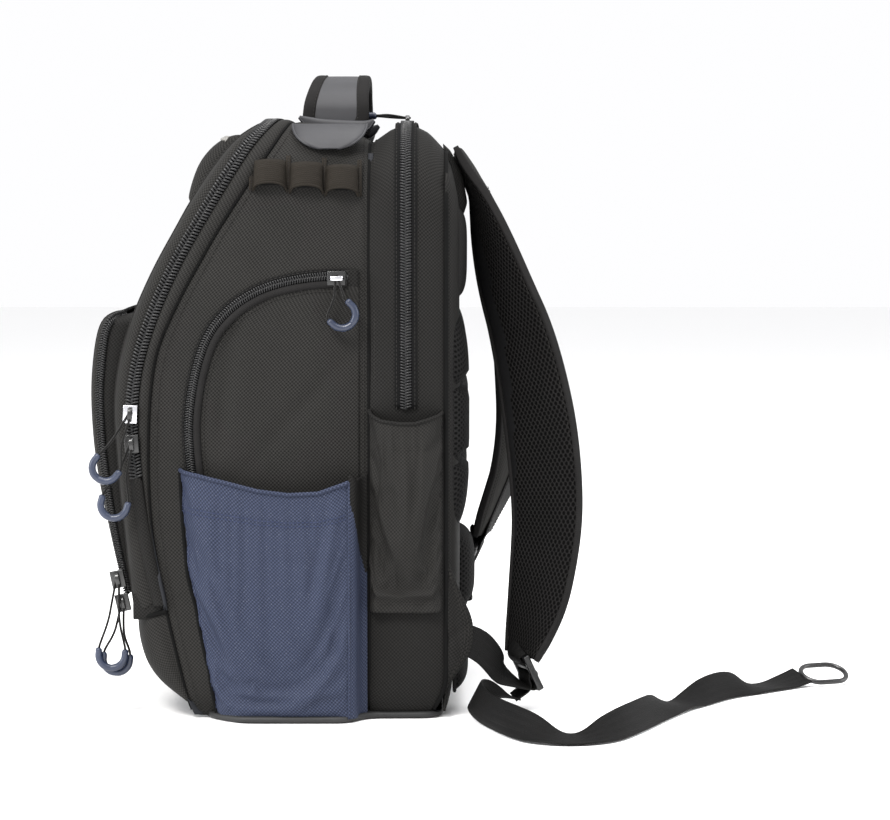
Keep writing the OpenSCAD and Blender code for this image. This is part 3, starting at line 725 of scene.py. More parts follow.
def keep_above(p, U, w, th, floor_z=0.3):
    """Lift a band so that its lowest edge stays on the floor."""
    U = u_perp(p, U)
    n = np.cross(tangents(p), U)
    low = p[:, 2] - np.abs(U[:, 2]) * w / 2 - np.abs(n[:, 2]) * th / 2
    q = p.copy()
    q[:, 2] += np.maximum(floor_z - low, 0)
    return q, U


tp, tU = keep_above(tq[:, :3], tq[:, 3:], 24.4, 1.9)
tail = ribbon("webbing_tail_band", tp, tU, 24.6, 1.9, WEB, bulge=0.0, sub=0)
put(tail, "bag", "webbing", "webbing_tail")


def oval_path(r, half, n=28, z=0.0):
    a = np.linspace(-math.pi / 2, math.pi / 2, n // 2)
    pts = [[half + r * math.cos(t), r * math.sin(t), z] for t in a] + [[-half - r * math.cos(t), -r * math.sin(t), z] for t in a]
    return arr(pts)


def place(P, at, rz=0.0, rx=0.0, ry=0.0):
    M = Matrix.Rotation(math.radians(rz), 3, "Z") @ Matrix.Rotation(math.radians(rx), 3, "X") @ Matrix.Rotation(math.radians(ry), 3, "Y")
    return arr(P) @ np.array(M).T + arr(at)


ring_p = place(oval_path(12.9, 7, 44), (-20, 438.5, 8.6), 112, 24)
ring_o = tube("tail_ring_moulded", ring_p, 2.1, GLOSS, n=12, up=place([[0, 0, 1]], (0, 0, 0), 112, 24)[0], closed=True)
put(ring_o, "bag", "black_plastic", "tail_ring")
# the band's end direction and the ring's near point; no fold or stitches are built from them
tt = unit(tp[-1] - tp[-3])
fold_c = place([[0, -12.9, 0]], (-20, 438.5, 8.6), 112, 24)[0]

# ------------------------------------------------------------------ main body shell
T0 = 26


def shell_piece(name, y0, y1, nt, bulge, mat, seed, wob, zlow=2.0, pinch=1.5, th=2.2, inset=0.0):
    P = arch_surface(y0, y1, nt, bulge, wob, seed, pinch, inset, zlow)
    return surf(name, P, [mat, LINING], thick=th, flip=True, lining=True), P


def body_creases(P):
    """Soft diagonal creases on the side panels, deeper near the top corner and above the pocket."""
    y, z = P[..., 1], P[..., 2]
    side = sstep(np.abs(P[..., 0]), 118, 144)
    d = 0
    for y0, z0, ang, ln, wd, dep in ((-30, 372, -58, 70, 9, 1.5), (-2, 398, -35, 55, 8, 1.1), (20, 380, -20, 60, 10, 1.0), (-86, 300, -75, 50, 6, 1.2), (-92, 190, -84, 60, 6, 0.9),
                                     (10, 440, -12, 50, 6, 1.2), (52, 390, -80, 60, 7, 1.0), (-60, 345, -50, 45, 7, 1.0), (48, 300, -65, 50, 9, 1.2), (-15, 352, -10, 60, 6, 0.9)):
        a = math.radians(ang)
        u = (y - y0) * math.cos(a) + (z - z0) * math.sin(a)
        v = -(y - y0) * math.sin(a) + (z - z0) * math.cos(a)
        d = d - dep * np.exp(-(v / wd) ** 2) * np.exp(-(u / ln) ** 4)
    return d * side


P = arch_surface(welt_y, 65.0, 54, 4.0, 0.9, 11, 1.2)
N = gnormal(P, True)
P = P + N * body_creases(P)[..., None] * np.sin(np.pi * np.linspace(0.02, 0.98, 54))[None, :, None] ** 0.5
shell = surf("body_shell", P, [NYLON, LINING], thick=2.2, flip=True, lining=True, sub=1)
put(shell, "bag", "nylon", "side_panel_right", "side_panel_left", "top_panel")
BODY_P = P

# rear compartment wall, over both sides and the top


def rear_y(z):
    return 124.0 - 15.0 * np.clip(1 - np.asarray(z, float) / 34.0, 0, 1) ** 2


P = arch_surface(lambda z: 63.6 + 0 * z, rear_y, 30, 4.5, 0.8, 23, 2.0)
N = gnormal(P, True)
yy, zz = P[..., 1], P[..., 2]
sag = 1.4 * wave_noise(zz / 13.0, yy / 60.0, 5) * np.exp(-((yy - 76) / 12.0) ** 2)
P = P + N * sag[..., None]
rear = surf("rear_compartment_wall", P, [NYLON2, LINING], thick=2.2, flip=True, lining=True, sub=1)
put(rear, "bag", "nylon", "rear_gusset_right", "rear_gusset_left", "rear_top_panel")


def seam(name, yfun, r, mat, lift, lo=3.0, body="bag", slot_name="nylon"):
    p, n, z = line_on_section(yfun, lift=lift)
    k = z >= lo
    return put(tube(name, p[k], r, mat, n=8), body, slot_name)


seam("seam_front_welt", welt_y, 1.1, DARKB, -0.2)
seam("seam_middle_piping", 64.6, 1.5, DARKB, -1.2)
seam("seam_back_piping", rear_y, 1.8, DARKB, -0.8)
for nm, yf, up in (("welt_stitch", lambda z: welt_y(z) + 6.5, 1.6), ("middle_stitch", lambda z: z * 0 + 60.5, 0.9), ("rear_stitch", lambda z: z * 0 + 69.0, 0.9)):
    p, n, z = line_on_section(yf)
    s = stitches("thread_" + nm, p[z > 6], n[z > 6], THREAD, up=up)
    put(s, "bag", "nylon")

# ------------------------------------------------------------------ zip gusset, coil and tapes of the heavy zip
P = arch_surface(lambda z: zip_y(z) + 4.4, welt_y, 12, 2.6, 0.4, 3, 0.4, inset=0.2, zlow=84.0)
g1 = surf("zip_gusset_body", P, [NYLON, LINING], thick=1.4, flip=True, lining=True, sub=1)
put(g1, "bag", "zip_coil", "main_zip_body_half")
zp, zn, zz_ = line_on_section(zip_y)
k = zz_ > 184.0
for side, body in ((1, "bag"), (-1, "lid")):
    # tape that carries the coil, sewn to the gusset or to the lid
    ya, yb = (0.3, 6.5) if side > 0 else (-6.5, -0.3)
    Pt = arch_surface(lambda z: zip_y(z) + ya, lambda z: zip_y(z) + yb, 5, 0.0, 0.0, 3, 0.0, inset=0.7, zlow=92.0)
    put(surf("main_tape_" + body, Pt, [TAPE], thick=0.9, flip=True), body, "zip_coil")
    c = coil("main_coil_" + body, zp[k] + zn[k] * 0.6, zn[k], None, COIL, 2.6, 5.0, side, lift=0.7, r=0.95)
    put(c, body, "zip_coil")

# below the sliders the cloth is gathered over the zip, down to the lower front corner
for sgn in (1, -1):
    m_ = (zz_ > 84) & (zz_ < 192) & (zp[:, 0] * sgn > 0)
    q_ = resample(zp[m_][np.argsort(zz_[m_])], 60) + arr([0.6 * sgn, 0, 0])
    w_ = 5.0 + 0.8 * wave_noise(q_[:, 2] / 9, q_[:, 2] * 0 + 3 * sgn, 21)
    w_ = w_ * np.clip((192 - q_[:, 2]) / 12 + 0.35, 0, 1)
    put(tube("gathered_ridge_" + ("right" if sgn > 0 else "left"), q_, w_, NYLON2, n=16, up=(sgn, 0, 0), flat=0.62), "bag", "nylon")
    Yg, Zg = np.meshgrid(np.linspace(-119, -91, 16), np.linspace(77, 97, 14), indexing="ij")
    cr = np.sin(np.pi * np.linspace(0.02, 0.98, 16))[:, None] ** 0.5 * np.sin(np.pi * np.linspace(0.02, 0.98, 14))[None] ** 0.5
    Pg = np.stack([sgn * (144.2 + 4.0 * cr + 0.5 * wave_noise(Yg / 5, Zg / 9, 23)), Yg, Zg], -1)
    put(surf("gathered_corner_" + ("right" if sgn > 0 else "left"), Pg, [NYLON2], flip=bool(gnormal(Pg)[8, 7][0] * sgn < 0), sub=1), "bag", "nylon")

# ------------------------------------------------------------------ the front lid
NT = 90
zl = resample(ZIP, NT)
ll = resample(LID[:], NT)
ezx = np.array([sec_x(z) if z < 462.9 else 100.0 for z in zl[:, 1]])
E = np.stack([ezx, zl[:, 0] - 2.2, zl[:, 1] - 0.6], 1)
C = np.stack([0 * ezx, ll[:, 0], ll[:, 1]], 1)
P = loft(E, C, 5.0, 18, 34)
N = gnormal(P)
if N[NT // 2, P.shape[1] // 2][1] > 0:
    N = -N
    LFLIP = True
else:
    LFLIP = False
wv = 1.1 * wave_noise(P[..., 0] / 40.0, P[..., 2] / 22.0, 31) + 0.5 * wave_noise(P[..., 0] / 14.0, P[..., 2] / 12.0, 37)
edge = np.minimum(np.arange(P.shape[1]), P.shape[1] - 1 - np.arange(P.shape[1]))
P = P + N * (wv * sstep(edge, 0, 8)[None] * sstep(np.arange(NT), 0, 6)[:, None])[..., None]
LID_P = P
lid = surf("lid_shell", P, [NYLON, LINING], thick=2.0, flip=LFLIP, lining=True, sub=1)
put(lid, "lid", "nylon", "lid_front_panel", "lid_gusset_right", "lid_gusset_left", "main_zip_lid_half")
# piping round the corner of the lid
for sgn in (1, -1):
    col = 17 if sgn > 0 else P.shape[1] - 18
    put(tube("lid_piping_" + ("right" if sgn > 0 else "left"), P[:, col] - N[:, col] * 0.6, 1.5, NYLON2, n=8), "lid", "nylon")
    off = 3 * sgn
    put(stitches("thread_lid_" + ("right" if sgn > 0 else "left"), P[4:, col + 2 * sgn], N[4:, col + 2 * sgn], THREAD, up=0.3), "lid", "nylon")

# ------------------------------------------------------------------ the front pocket and its flap
NF = 70
pz = resample(PZIP, NF)
fl = resample(FLAP, NF)
s_top = sstep(np.linspace(0, 1, NF), 0, 0.07)
fx = 118.0 - 16 * (1 - s_top) ** 2
E = np.stack([fx, pz[:, 0], pz[:, 1]], 1)
C = np.stack([0 * fx, fl[:, 0], fl[:, 1]], 1)
P = loft(E, C, 6.0, 14, 34)
N = gnormal(P)
if N[NF // 2, P.shape[1] // 2][1] > 0:
    N, FF = -N, True
else:
    FF = False
wv = 1.0 * wave_noise(P[..., 0] / 34.0, P[..., 2] / 26.0, 41) + 0.4 * wave_noise(P[..., 0] / 12.0, P[..., 2] / 10.0, 47)
edge = np.minimum(np.arange(P.shape[1]), P.shape[1] - 1 - np.arange(P.shape[1]))
P = P + N * (wv * sstep(edge, 0, 8)[None] * np.sin(np.pi * np.linspace(0, 1, NF))[:, None] ** 0.5)[..., None]
flap = surf("front_pocket_flap_shell", P, [NYLON, LINING], thick=1.9, flip=FF, lining=True, sub=1)
put(flap, "pocket_flap", "nylon", "front_pocket_flap")
for sgn in (1, -1):
    col = 13 if sgn > 0 else P.shape[1] - 14
    put(tube("flap_piping_" + ("right" if sgn > 0 else "left"), P[:, col] - N[:, col] * 0.5, 1.4, NYLON2, n=8), "pocket_flap", "nylon")
put(tube("flap_top_piping", P[0], 1.6, DARKB, n=8), "pocket_flap", "nylon")
put(stitches("thread_flap_top", P[4], N[4], THREAD, up=0.25), "pocket_flap", "nylon")
# gusset of the pocket on the lid, and its zip
lidy = lambda z: at_z(LID, z)
for sgn, nm in ((1, "right"), (-1, "left")):
    z = pz[:, 1]
    t = np.linspace(0, 1, 8)
    y0, y1 = pz[:, 0] + 1.4, lidy(z) + 3.0
    Y = y0[:, None] + (y1 - y0)[:, None] * t[None]
    X = (fx[:, None] + 1.2 * np.sin(np.pi * t)[None] + 0.4 * wave_noise(Y / 9, z[:, None] / 15, 3)) * sgn
    G1 = np.stack([X, Y, np.repeat(z[:, None], 8, 1)], -1)
    o = surf("front_pocket_gusset_" + nm, G1, [NYLON2, LINING], thick=1.4, flip=(sgn < 0), lining=True)
    put(o, "lid", "nylon", "front_pocket_gusset")
    zpth = np.stack([(fx + 1.0) * sgn, pz[:, 0] + 0.6, pz[:, 1]], 1)
    nn = np.tile([sgn, 0, 0], (NF, 1))
    for side, body in ((1, "lid"), (-1, "pocket_flap")):
        c = coil("pocket_coil_%s_%s" % (nm, body), zpth, nn, None, COIL, 1.9, 3.4, side * sgn, lift=0.5, r=0.7)
        put(c, body, "zip_coil", *(["front_pocket_zip"] if body == "lid" else []))
topg = np.stack([np.stack([fx[0] * np.cos(a) * np.ones(6), np.linspace(pz[0, 0], lidy(pz[0, 1]) + 3, 6), np.full(6, pz[0, 1] - 0.5)], 1) for a in np.linspace(0, math.pi, 30)], 0)
put(surf("front_pocket_gusset_top", topg, [NYLON2, LINING], thick=1.2, flip=True, lining=True), "lid", "nylon")

# ------------------------------------------------------------------ small pocket on the lid's top, with the pale zip
TPF = smooth([[-40, 452.8], [-50, 451], [-60, 444], [-71, 430], [-78, 416], [-85, 400]], 2)
tpf = resample(TPF, 36)
cx = np.linspace(-1, 1, 60)
ex = 95.0 * np.sign(cx) * (1 - (1 - np.abs(cx)) ** 1.5)
lidn = np.stack([np.interp(tpf[:, 1], ll[::-1, 1], ll[::-1, 0]), tpf[:, 1]], 1)
S = np.zeros((36, 60, 3))
S[..., 0] = ex[None]
hgt = (1 - np.abs(cx) ** 8)[None] * np.clip(np.sin(np.pi * np.linspace(0.0, 1, 36)), 0, 1)[:, None] ** 0.35
S[..., 1] = lidn[:, :1] + (tpf[:, :1] - lidn[:, :1]) * hgt - 0.2
S[..., 2] = tpf[:, 1:2] + 2.5 * hgt
tpk = surf("top_pocket_shell", S, [NYLON, LINING], thick=1.2, flip=False, lining=True, sub=1)
put(tpk, "lid", "nylon", "top_pocket")
zrow = S[7].copy()
zn_ = gnormal(S)[7]
if zn_[30][2] < 0:
    zn_ = -zn_
for side in (1, -1):
    put(coil("top_pocket_coil_%s" % ("upper" if side > 0 else "lower"), zrow[3:-3], zn_[3:-3], None, COILW, 1.9, 3.0, side, lift=0.5, r=0.7), "lid", "pale_zip", *(["top_pocket_zip"] if side > 0 else []))

# ------------------------------------------------------------------ lower front, under the lid's fold
NL = 30
lo = resample(LOW, NL)
wz = resample(np.array([[welt_y(z), z] for z in np.linspace(84, 3, 40)]), NL)
E = np.stack([np.array([sec_x(z) for z in wz[:, 1]]) - 0.3, wz[:, 0] + 0.5, wz[:, 1]], 1)
C = np.stack([0 * lo[:, 0], lo[:, 0], lo[:, 1]], 1)
P = loft(E, C, 4.2, 16, 30)
N = gnormal(P)
if N[NL // 2, P.shape[1] // 2][1] > 0:
    N, LF = -N, True
else:
    LF = False
bul = 3.2 * np.sin(np.pi * np.linspace(0, 1, NL)) ** 0.7
wv = 0.9 * wave_noise(P[..., 0] / 26.0, P[..., 2] / 14.0, 51)
edge = np.minimum(np.arange(P.shape[1]), P.shape[1] - 1 - np.arange(P.shape[1]))
P = P + N * ((bul[:, None] + wv) * sstep(edge, 0, 7)[None])[..., None]
P[..., 2] = np.maximum(P[..., 2], 1.0)
o = surf("lower_front_shell", P, [NYLON, LINING], thick=2.0, flip=LF, lining=True, sub=1)
put(o, "bag", "nylon", "lower_front_panel")
put(tube("fold_piping", P[0] + N[0] * 0.5, 2.0, DARKB, n=8), "bag", "nylon")

# ------------------------------------------------------------------ base
BO = arr([[148, -60], [160, -50], [173, -34], [173, 48], [150, 64], [149, 112], [138, 122], [-138, 122], [-149, 112], [-150, 64], [-173, 48], [-173, -34], [-160, -50], [-148, -60], [-120, -68], [120, -68]])
b0 = np.vstack([BO, BO[:1]])
m = []
for i in range(len(BO)):
    a, b, c = BO[i - 1], BO[i], BO[(i + 1) % len(BO)]
    for t in (0.0, 0.5, 1.0):
        q0 = b + (a - b) * min(0.3, 8 / max(np.linalg.norm(a - b), 1))
        q1 = b + (c - b) * min(0.3, 8 / max(np.linalg.norm(c - b), 1))
        m.append((1 - t) ** 2 * q0 + 2 * t * (1 - t) * b + t * t * q1)
m = arr(m)
mc = m.mean(0)
rows = []
for z, sc in ((0.0, 0.0), (0.0, 0.5), (0.0, 0.975), (0.6, 0.99), (2.0, 0.997), (4.2, 0.995), (5.0, 0.985), (5.2, 0.9), (5.2, 0.0)):
    q = mc + (m - mc) * sc
    rows.append(np.c_[q, np.full(len(q), z)])
o = surf("base_moulding", np.stack(rows), BASEM, wrap_v=True, flip=True)
put(o, "bag", "base_rubber", "base_panel")

# ------------------------------------------------------------------ back panel and pads


def pad(name, x0, x1, z0, z1, y0, h, mat, body="bag", slot_name="air_mesh", e=4.0, nu=34, nv=46, quilt=(), rnd=0.0, nodes=()):
    u = np.linspace(-1, 1, nu)
    v = np.linspace(-1, 1, nv)
    U, V = np.meshgrid(np.sign(u) * (1 - (1 - np.abs(u)) ** 1.7), np.sign(v) * (1 - (1 - np.abs(v)) ** 1.7), indexing="ij")
    hh = np.clip(1 - np.abs(U) ** e, 0, 1) ** 0.5 * np.clip(1 - np.abs(V) ** e, 0, 1) ** 0.5
    sx = (1 - rnd * np.abs(V) ** 6) * (x1 - x0) / 2
    sz = (1 - rnd * np.abs(U) ** 6) * (z1 - z0) / 2
    X = (x0 + x1) / 2 + U * sx
    Z = (z0 + z1) / 2 + V * sz
    H = h * hh
    for q in quilt:
        H = H - h * 0.62 * np.exp(-((Z - q) / 4.5) ** 2) * hh
    H = H + 0.35 * wave_noise(X / 15, Z / 17, 9) * hh
    Y = y0 + H
    P = np.stack([X, Y, Z], -1)
    o = surf(name, P, mat, flip=False)
    if gnormal(P)[nu // 2, nv // 2][1] < 0:
        for f in o.data.polygons:
            f.flip()
    put(o, body, slot_name, *nodes)
    pe = np.vstack([P[:, 0], P[-1, 1:], P[::-1, -1][1:], P[0, ::-1][1:-1]])
    put(tube(name + "_binding", pe + [0, 0.6, 0], 1.5, BIND, n=6, closed=True), body, slot_name)
    return o, P


bp = []
zb = np.linspace(5, 440, 60)
xb = np.linspace(-1, 1, 50)
X = 146.5 * np.sign(xb) * (1 - (1 - np.abs(xb)) ** 1.6)
prof = np.interp(zb, [5, 14, 60, 400, 430, 440], [124, 128, 134.5, 134.5, 128, 122.5])
P = np.zeros((60, 50, 3))
P[..., 0] = X[None] * (1 - 0.30 * sstep(zb, 405, 440) ** 3)[:, None]
wd = (1 - np.abs(xb) ** 7)[None]
P[..., 1] = 123.5 + (prof[:, None] - 123.5) * wd + 0.7 * wave_noise(X[None] / 30, zb[:, None] / 34, 61) * wd
P[..., 2] = zb[:, None]
o = surf("back_panel_shell", P, [NYLON2, LINING], thick=2.0, lining=True, flip=bool(gnormal(P)[30, 25][1] < 0), sub=1)
put(o, "bag", "nylon", "back_panel")
for sgn in (1, -1):
    a, b = sorted((sgn * 15, sgn * 143))
    pad("back_pad_%s" % ("right" if sgn > 0 else "left"), a, b, 143, 318, 127, 15.5, MESHM, quilt=(200, 259), rnd=0.05, nodes=("back_pads",))
    a, b = sorted((sgn * 15, sgn * 127))
    pad("back_pad_upper_%s" % ("right" if sgn > 0 else "left"), a, b, 326, 396, 132.5, 8, NYLON2, rnd=0.08, slot_name="nylon")
pad("lumbar_pad", -132, 132, 17, 54, 130, 12, MESHM, rnd=0.05)
pad("lumbar_pad_middle", -62, 62, 72, 134, 131, 16.5, MESHM, rnd=0.08)
for sgn in (1, -1):
    # yoke: the padded wedge that the strap's top end is sewn to
    zy_ = np.linspace(384, 446, 26)
    ux_ = np.linspace(-1, 1, 20)
    base_ = np.interp(zy_, [384, 400, 430, 440, 446], [134.2, 134.2, 128, 122.5, 121.5])
    tgt_ = np.interp(zy_, [384, 392, 400, 423, 441, 446], [134.5, 138.5, 141.0, 137.0, 127.5, 122.0])
    wn_ = np.clip(1 - np.abs(ux_) ** 6, 0, 1) ** 0.6
    Yk = np.stack([sgn * (71 + 31 * ux_[None] + 0 * zy_[:, None]), base_[:, None] + (tgt_ - base_)[:, None] * wn_[None], zy_[:, None] + 0 * ux_[None]], -1)
    put(surf("strap_yoke_" + ("right" if sgn > 0 else "left"), Yk, [NYLON2], flip=bool(gnormal(Yk)[13, 10][1] < 0), sub=1), "bag", "nylon")

# ------------------------------------------------------------------ shoulder straps
RIGHT = [[[70, 133, 441], 0, 62], [[72, 142.5, 423], 0, 64], [[75, 151.5, 400], 13, 65], [[79, 161, 366], 27, 66], [[83, 171.5, 331], 37, 66], [[87, 183, 299], 44, 66], [[91, 192, 261], 50, 66], [[95, 199, 221], 54, 66],
         [[99, 203, 181], 56, 64], [[102, 204, 150], 56, 62], [[104, 201, 118], 54, 60], [[106, 196.5, 87], 50, 57], [[108, 190, 62], 43, 50], [[110, 184, 43], 35, 42]]
LEFT = [[[-70, 133, 441], 0, 62], [[-71, 142.5, 422], 0, 64], [[-73, 152.5, 396], -6, 65], [[-75, 164, 368], -14, 66], [[-77, 174, 335], -24, 66], [[-79, 182, 297], -32, 66], [[-80, 187, 256], -36, 66],
        [[-81, 188, 216], -36, 64], [[-82, 181, 181], -31, 62], [[-83, 167, 152], -22, 56], [[-84, 158, 134], -16, 48], [[-85, 151.5, 118], -8, 36]]


def strap(name, rings, body, nodes):
    q = arr([c + [a, w_] for c, a, w_ in rings])
    q = resample(smooth(q, 3), 110)
    c, ang, wd = q[:, :3], np.radians(q[:, 3]), q[:, 4]
    U = np.stack([np.cos(ang), np.sin(ang), 0 * ang], 1)
    t = tangents(c)
    n = unit(np.cross(t, U))
    n[n[:, 1] < 0] *= -1                     # outwards, away from the back
    u = unit(np.cross(n, t)) * np.sign((np.cross(n, t) * U).sum(1))[:, None]
    # cross section: crowned outside, flatter mesh side, pinched bound edges
    a = np.linspace(0, 2 * math.pi, 45)[:-1]
    xs = np.sign(np.cos(a)) * np.abs(np.cos(a)) ** 0.75
    ys = np.sign(np.sin(a)) * np.abs(np.sin(a)) ** 0.8
    th = np.where(ys > 0, 7.0, 5.8)
    pinch = 0.36 + 0.64 * np.clip((1 - np.abs(xs)) / 0.16, 0, 1) ** 0.6
    s = np.linspace(0, 1, len(c))
    taper = 0.55 + 0.45 * np.clip(np.minimum(s / 0.05, (1 - s) / 0.07), 0, 1) ** 0.7
    lump = 1 + 0.06 * wave_noise(s * 9, s * 0, 71)
    R = c[:, None] + (wd / 2)[:, None, None] * xs[None, :, None] * u[:, None] + (taper * lump)[:, None, None] * (th * ys * pinch)[None, :, None] * n[:, None]
    m_ = len(a)
    L = len(c)
    idx = np.arange(L * m_).reshape(L, m_)
    nx = np.roll(idx, -1, axis=1)
    F = np.stack([idx[:-1], nx[:-1], nx[1:], idx[1:]], -1).reshape(-1, 4)
    side_ = np.sign(c[0, 0])
    smo = np.interp(c[:-1, 2], [90, 200, 330, 420], [-0.93, -0.80, -0.40, -0.25])          # knit edge next to the neck, widest at the top: a darker band, partly real smooth knit and partly painted shade of the strap's curve
    mi = np.where(ys[None] < -0.02, np.where(xs[None] * side_ * np.sign(u[0, 0]) < smo[:, None], 2, 1), 0).ravel()
    F = F.tolist() + [idx[0][::-1].tolist(), idx[-1].tolist()]
    mi = np.r_[mi, 0, 0]
    d = np.r_[0, np.cumsum(np.linalg.norm(np.diff(c, axis=0), axis=1))]
    uv = np.stack([np.repeat((xs * 33)[None], L, 0), np.repeat(d[:, None], m_, 1)], -1).reshape(-1, 2)
    o = obj_from(name, R.reshape(-1, 3), F, [NYLON, MESHS, SMOOTHB], uv=uv, midx=mi)
    bm = bmesh.new()
    bm.from_mesh(o.data)
    bmesh.ops.recalc_face_normals(bm, faces=bm.faces)
    bm.to_mesh(o.data)
    bm.free()
    sb = o.modifiers.new("sub", "SUBSURF")
    sb.levels = sb.render_levels = 1
    put(o, body, "air_mesh", nodes)
    for sg in (1, -1):
        e = c + u * (sg * (wd / 2 - 1.2))[:, None] - n * 0.2
        bnd = ribbon("%s_binding_%s" % (name, "outer" if sg > 0 else "inner"), e, n, 6.2 * np.clip(taper + 0.15, 0, 1), 3.6, BIND, nside=11, edge=0.8)
        put(bnd, body, "nylon")
        for sd in (1, -1):
            put(stitches("thread_%s_%d_%d" % (name, sg, sd), e[3:-3] - u[3:-3] * sg * 3.1 + n[3:-3] * sd * 3.0, n[3:-3] * sd, THREAD, pitch=3.2, up=-0.1), body, "nylon")
    return c, u, n, wd


SR = strap("shoulder_strap_right_pad", RIGHT, "strap_right", "shoulder_strap_right")
SL = strap("shoulder_strap_left_pad", LEFT, "strap_left", "shoulder_strap_left")
for nm, S, body, zs in (("right", SR, "strap_right", (322, 205)), ("left", SL, "strap_left", (322, 205))):
    c, u, n, wd = S
    t = tangents(c)
    # centre webbing sewn down the outer face, with standing loops
    k = np.where((c[:, 2] < 408) & (c[:, 2] > (60 if nm == "right" else 122)))[0]
    cw = ribbon("strap_centre_webbing_" + nm, c[k] + n[k] * 7.3, u[k], 24.5, 1.6, WEB)
    put(cw, body, "webbing")
    for sg in (1, -1):
        put(stitches("thread_centre_%s_%d" % (nm, sg), c[k] + n[k] * 8.2 + u[k] * sg * 10.2, n[k], THREAD, pitch=3.0), body, "webbing")
    for i, z in enumerate(zs):
        j = int(np.argmin(np.abs(c[:, 2] - z)))
        s = np.linspace(-1, 1, 25)
        arc = 5.5 * np.clip(1 - s ** 2, 0, 1) ** 0.8
        p = c[j] + n[j] * 7.6 + np.outer(s * 19.0, u[j]) + np.outer(arc, n[j])
        lp = ribbon("strap_loop_%s_%d" % (nm, i), p, np.tile(t[j], (25, 1)), 25.0, 1.9, WEB)
        put(lp, body, "webbing", *(["strap_loops_" + nm] if i == 0 else []))
        for sg in (-1, 1):
            bt = c[j] + n[j] * 9.2 + u[j] * sg * 17.5
            put(stitches("bartack_%s_%d_%d" % (nm, i, sg), np.stack([bt - t[j] * 11, bt + t[j] * 11]), n[j], THREAD, pitch=1.0, ln=0.9, r=0.8), body, "webbing")


def box_mesh(a, b, r=0.8, seg=2):
    me = bpy.data.meshes.new("t")
    bm = bmesh.new()
    bmesh.ops.create_cube(bm, size=1.0)
    a, b = arr(a), arr(b)
    for v in bm.verts:
        v.co = Vector((arr(v.co) * (b - a) + (a + b) / 2).tolist())
    bmesh.ops.bevel(bm, geom=bm.edges[:], offset=r, segments=seg, affect="EDGES", profile=0.6)
    V = [list(v.co) for v in bm.verts]
    bm.verts.ensure_lookup_table()
    F = [[v.index for v in f.verts] for f in bm.faces]
    bm.free()
    return V, F


def join_parts(name, parts, mat, at, rz=0, rx=0, ry=0):
    V, F = [], []
    for v, f in parts:
        k = len(V)
        V += [list(map(float, x)) for x in v]
        F += [[i + k for i in g] for g in f]
    V = place(V, at, rz, rx, ry)
    o = obj_from(name, V, F, mat)
    md = o.modifiers.new("edges", "EDGE_SPLIT")
    md.split_angle = math.radians(50)
    return o


def rod(p0, p1, r, n=14):
    p0, p1 = arr(p0), arr(p1)
    t = unit(p1 - p0)
    up = arr([0, 0, 1]) if abs(t[2]) < 0.9 else arr([1, 0, 0])
    s = unit(np.cross(t, up))
    q = np.cross(s, t)
    V, F = [], []
    st = [(0, 0.0), (0, r * 0.75), (0.25 * r, r), (-0.25 * r, r), (0, r * 0.75), (0, 0.0)]
    pts = [p0, p0, p0 + t * 0.3 * r, p1 - t * 0.3 * r, p1, p1]
    for (z, rr), c in zip(st, pts):
        for i in range(n):
            a = 2 * math.pi * i / n
            V.append(c + rr * (math.cos(a) * s + math.sin(a) * q))
    for k in range(5):
        for i in range(n):
            F.append([k * n + i, k * n + (i + 1) % n, (k + 1) * n + (i + 1) % n, (k + 1) * n + i])
    return V, F


def ladder(name, at, rz, rx, ry, body, node):
    parts = [box_mesh([-17, -2.4, -30], [-13.0, 2.6, 0], 1.1, 3), box_mesh([13.0, -2.4, -30], [17, 2.6, 0], 1.1, 3)]
    for z0, z1, y0, y1 in ((-4.6, 0, -2.5, 2.6), (-13.1, -9.4, -1.2, 2.9), (-21.1, -17.4, -2.4, 2.0), (-30, -26.4, -2.6, 2.6)):
        parts.append(box_mesh([-15.5, y0, z0], [15.5, y1, z1], 1.0, 3))
    o = join_parts(name, parts, GLOSS, at, rz, rx, ry)
    put(o, body, "black_plastic", node)


ladder("ladder_lock_moulded_right", (110.4, 181, 45), 20, 26, 0, "strap_right", "ladder_lock_right")
ladder("ladder_lock_moulded_left", (-85, 153, 117), -6, -22, 38, "strap_left", "ladder_lock_left")
# short webbing that holds each lock to its strap
for nm, S, body, at, rz, rx, ry in (("right", SR, "strap_right", (110.4, 181, 45), 20, 26, 0), ("left", SL, "strap_left", (-85, 153, 117), -6, -22, 38)):
    c, u, n, wd = S
    bar = place([[0, 3.4, 2], [0, 4.2, -3], [0, 2.5, -6.6], [0, -2.0, -7.4], [0, -4.4, -4], [0, -4.2, 2]], at, rz, rx, ry)
    ux = place([[1, 0, 0]], (0, 0, 0), rz, rx, ry)[0]
    k = [-16, -11, -7, -4]
    up_ = c[k] + n[k] * 7.0
    pth = np.vstack([up_, bar, (c[-3] - n[-3] * 5.0)[None]])
    UU = np.vstack([u[k], np.tile(ux * np.sign(np.dot(ux, u[-1])), (6, 1)), u[-3:-2]])
    q = smooth(np.hstack([pth, UU]), 2)
    put(ribbon("lock_webbing_" + nm, q[:, :3], q[:, 3:], 24.6, 1.8, WEB), body, "webbing")

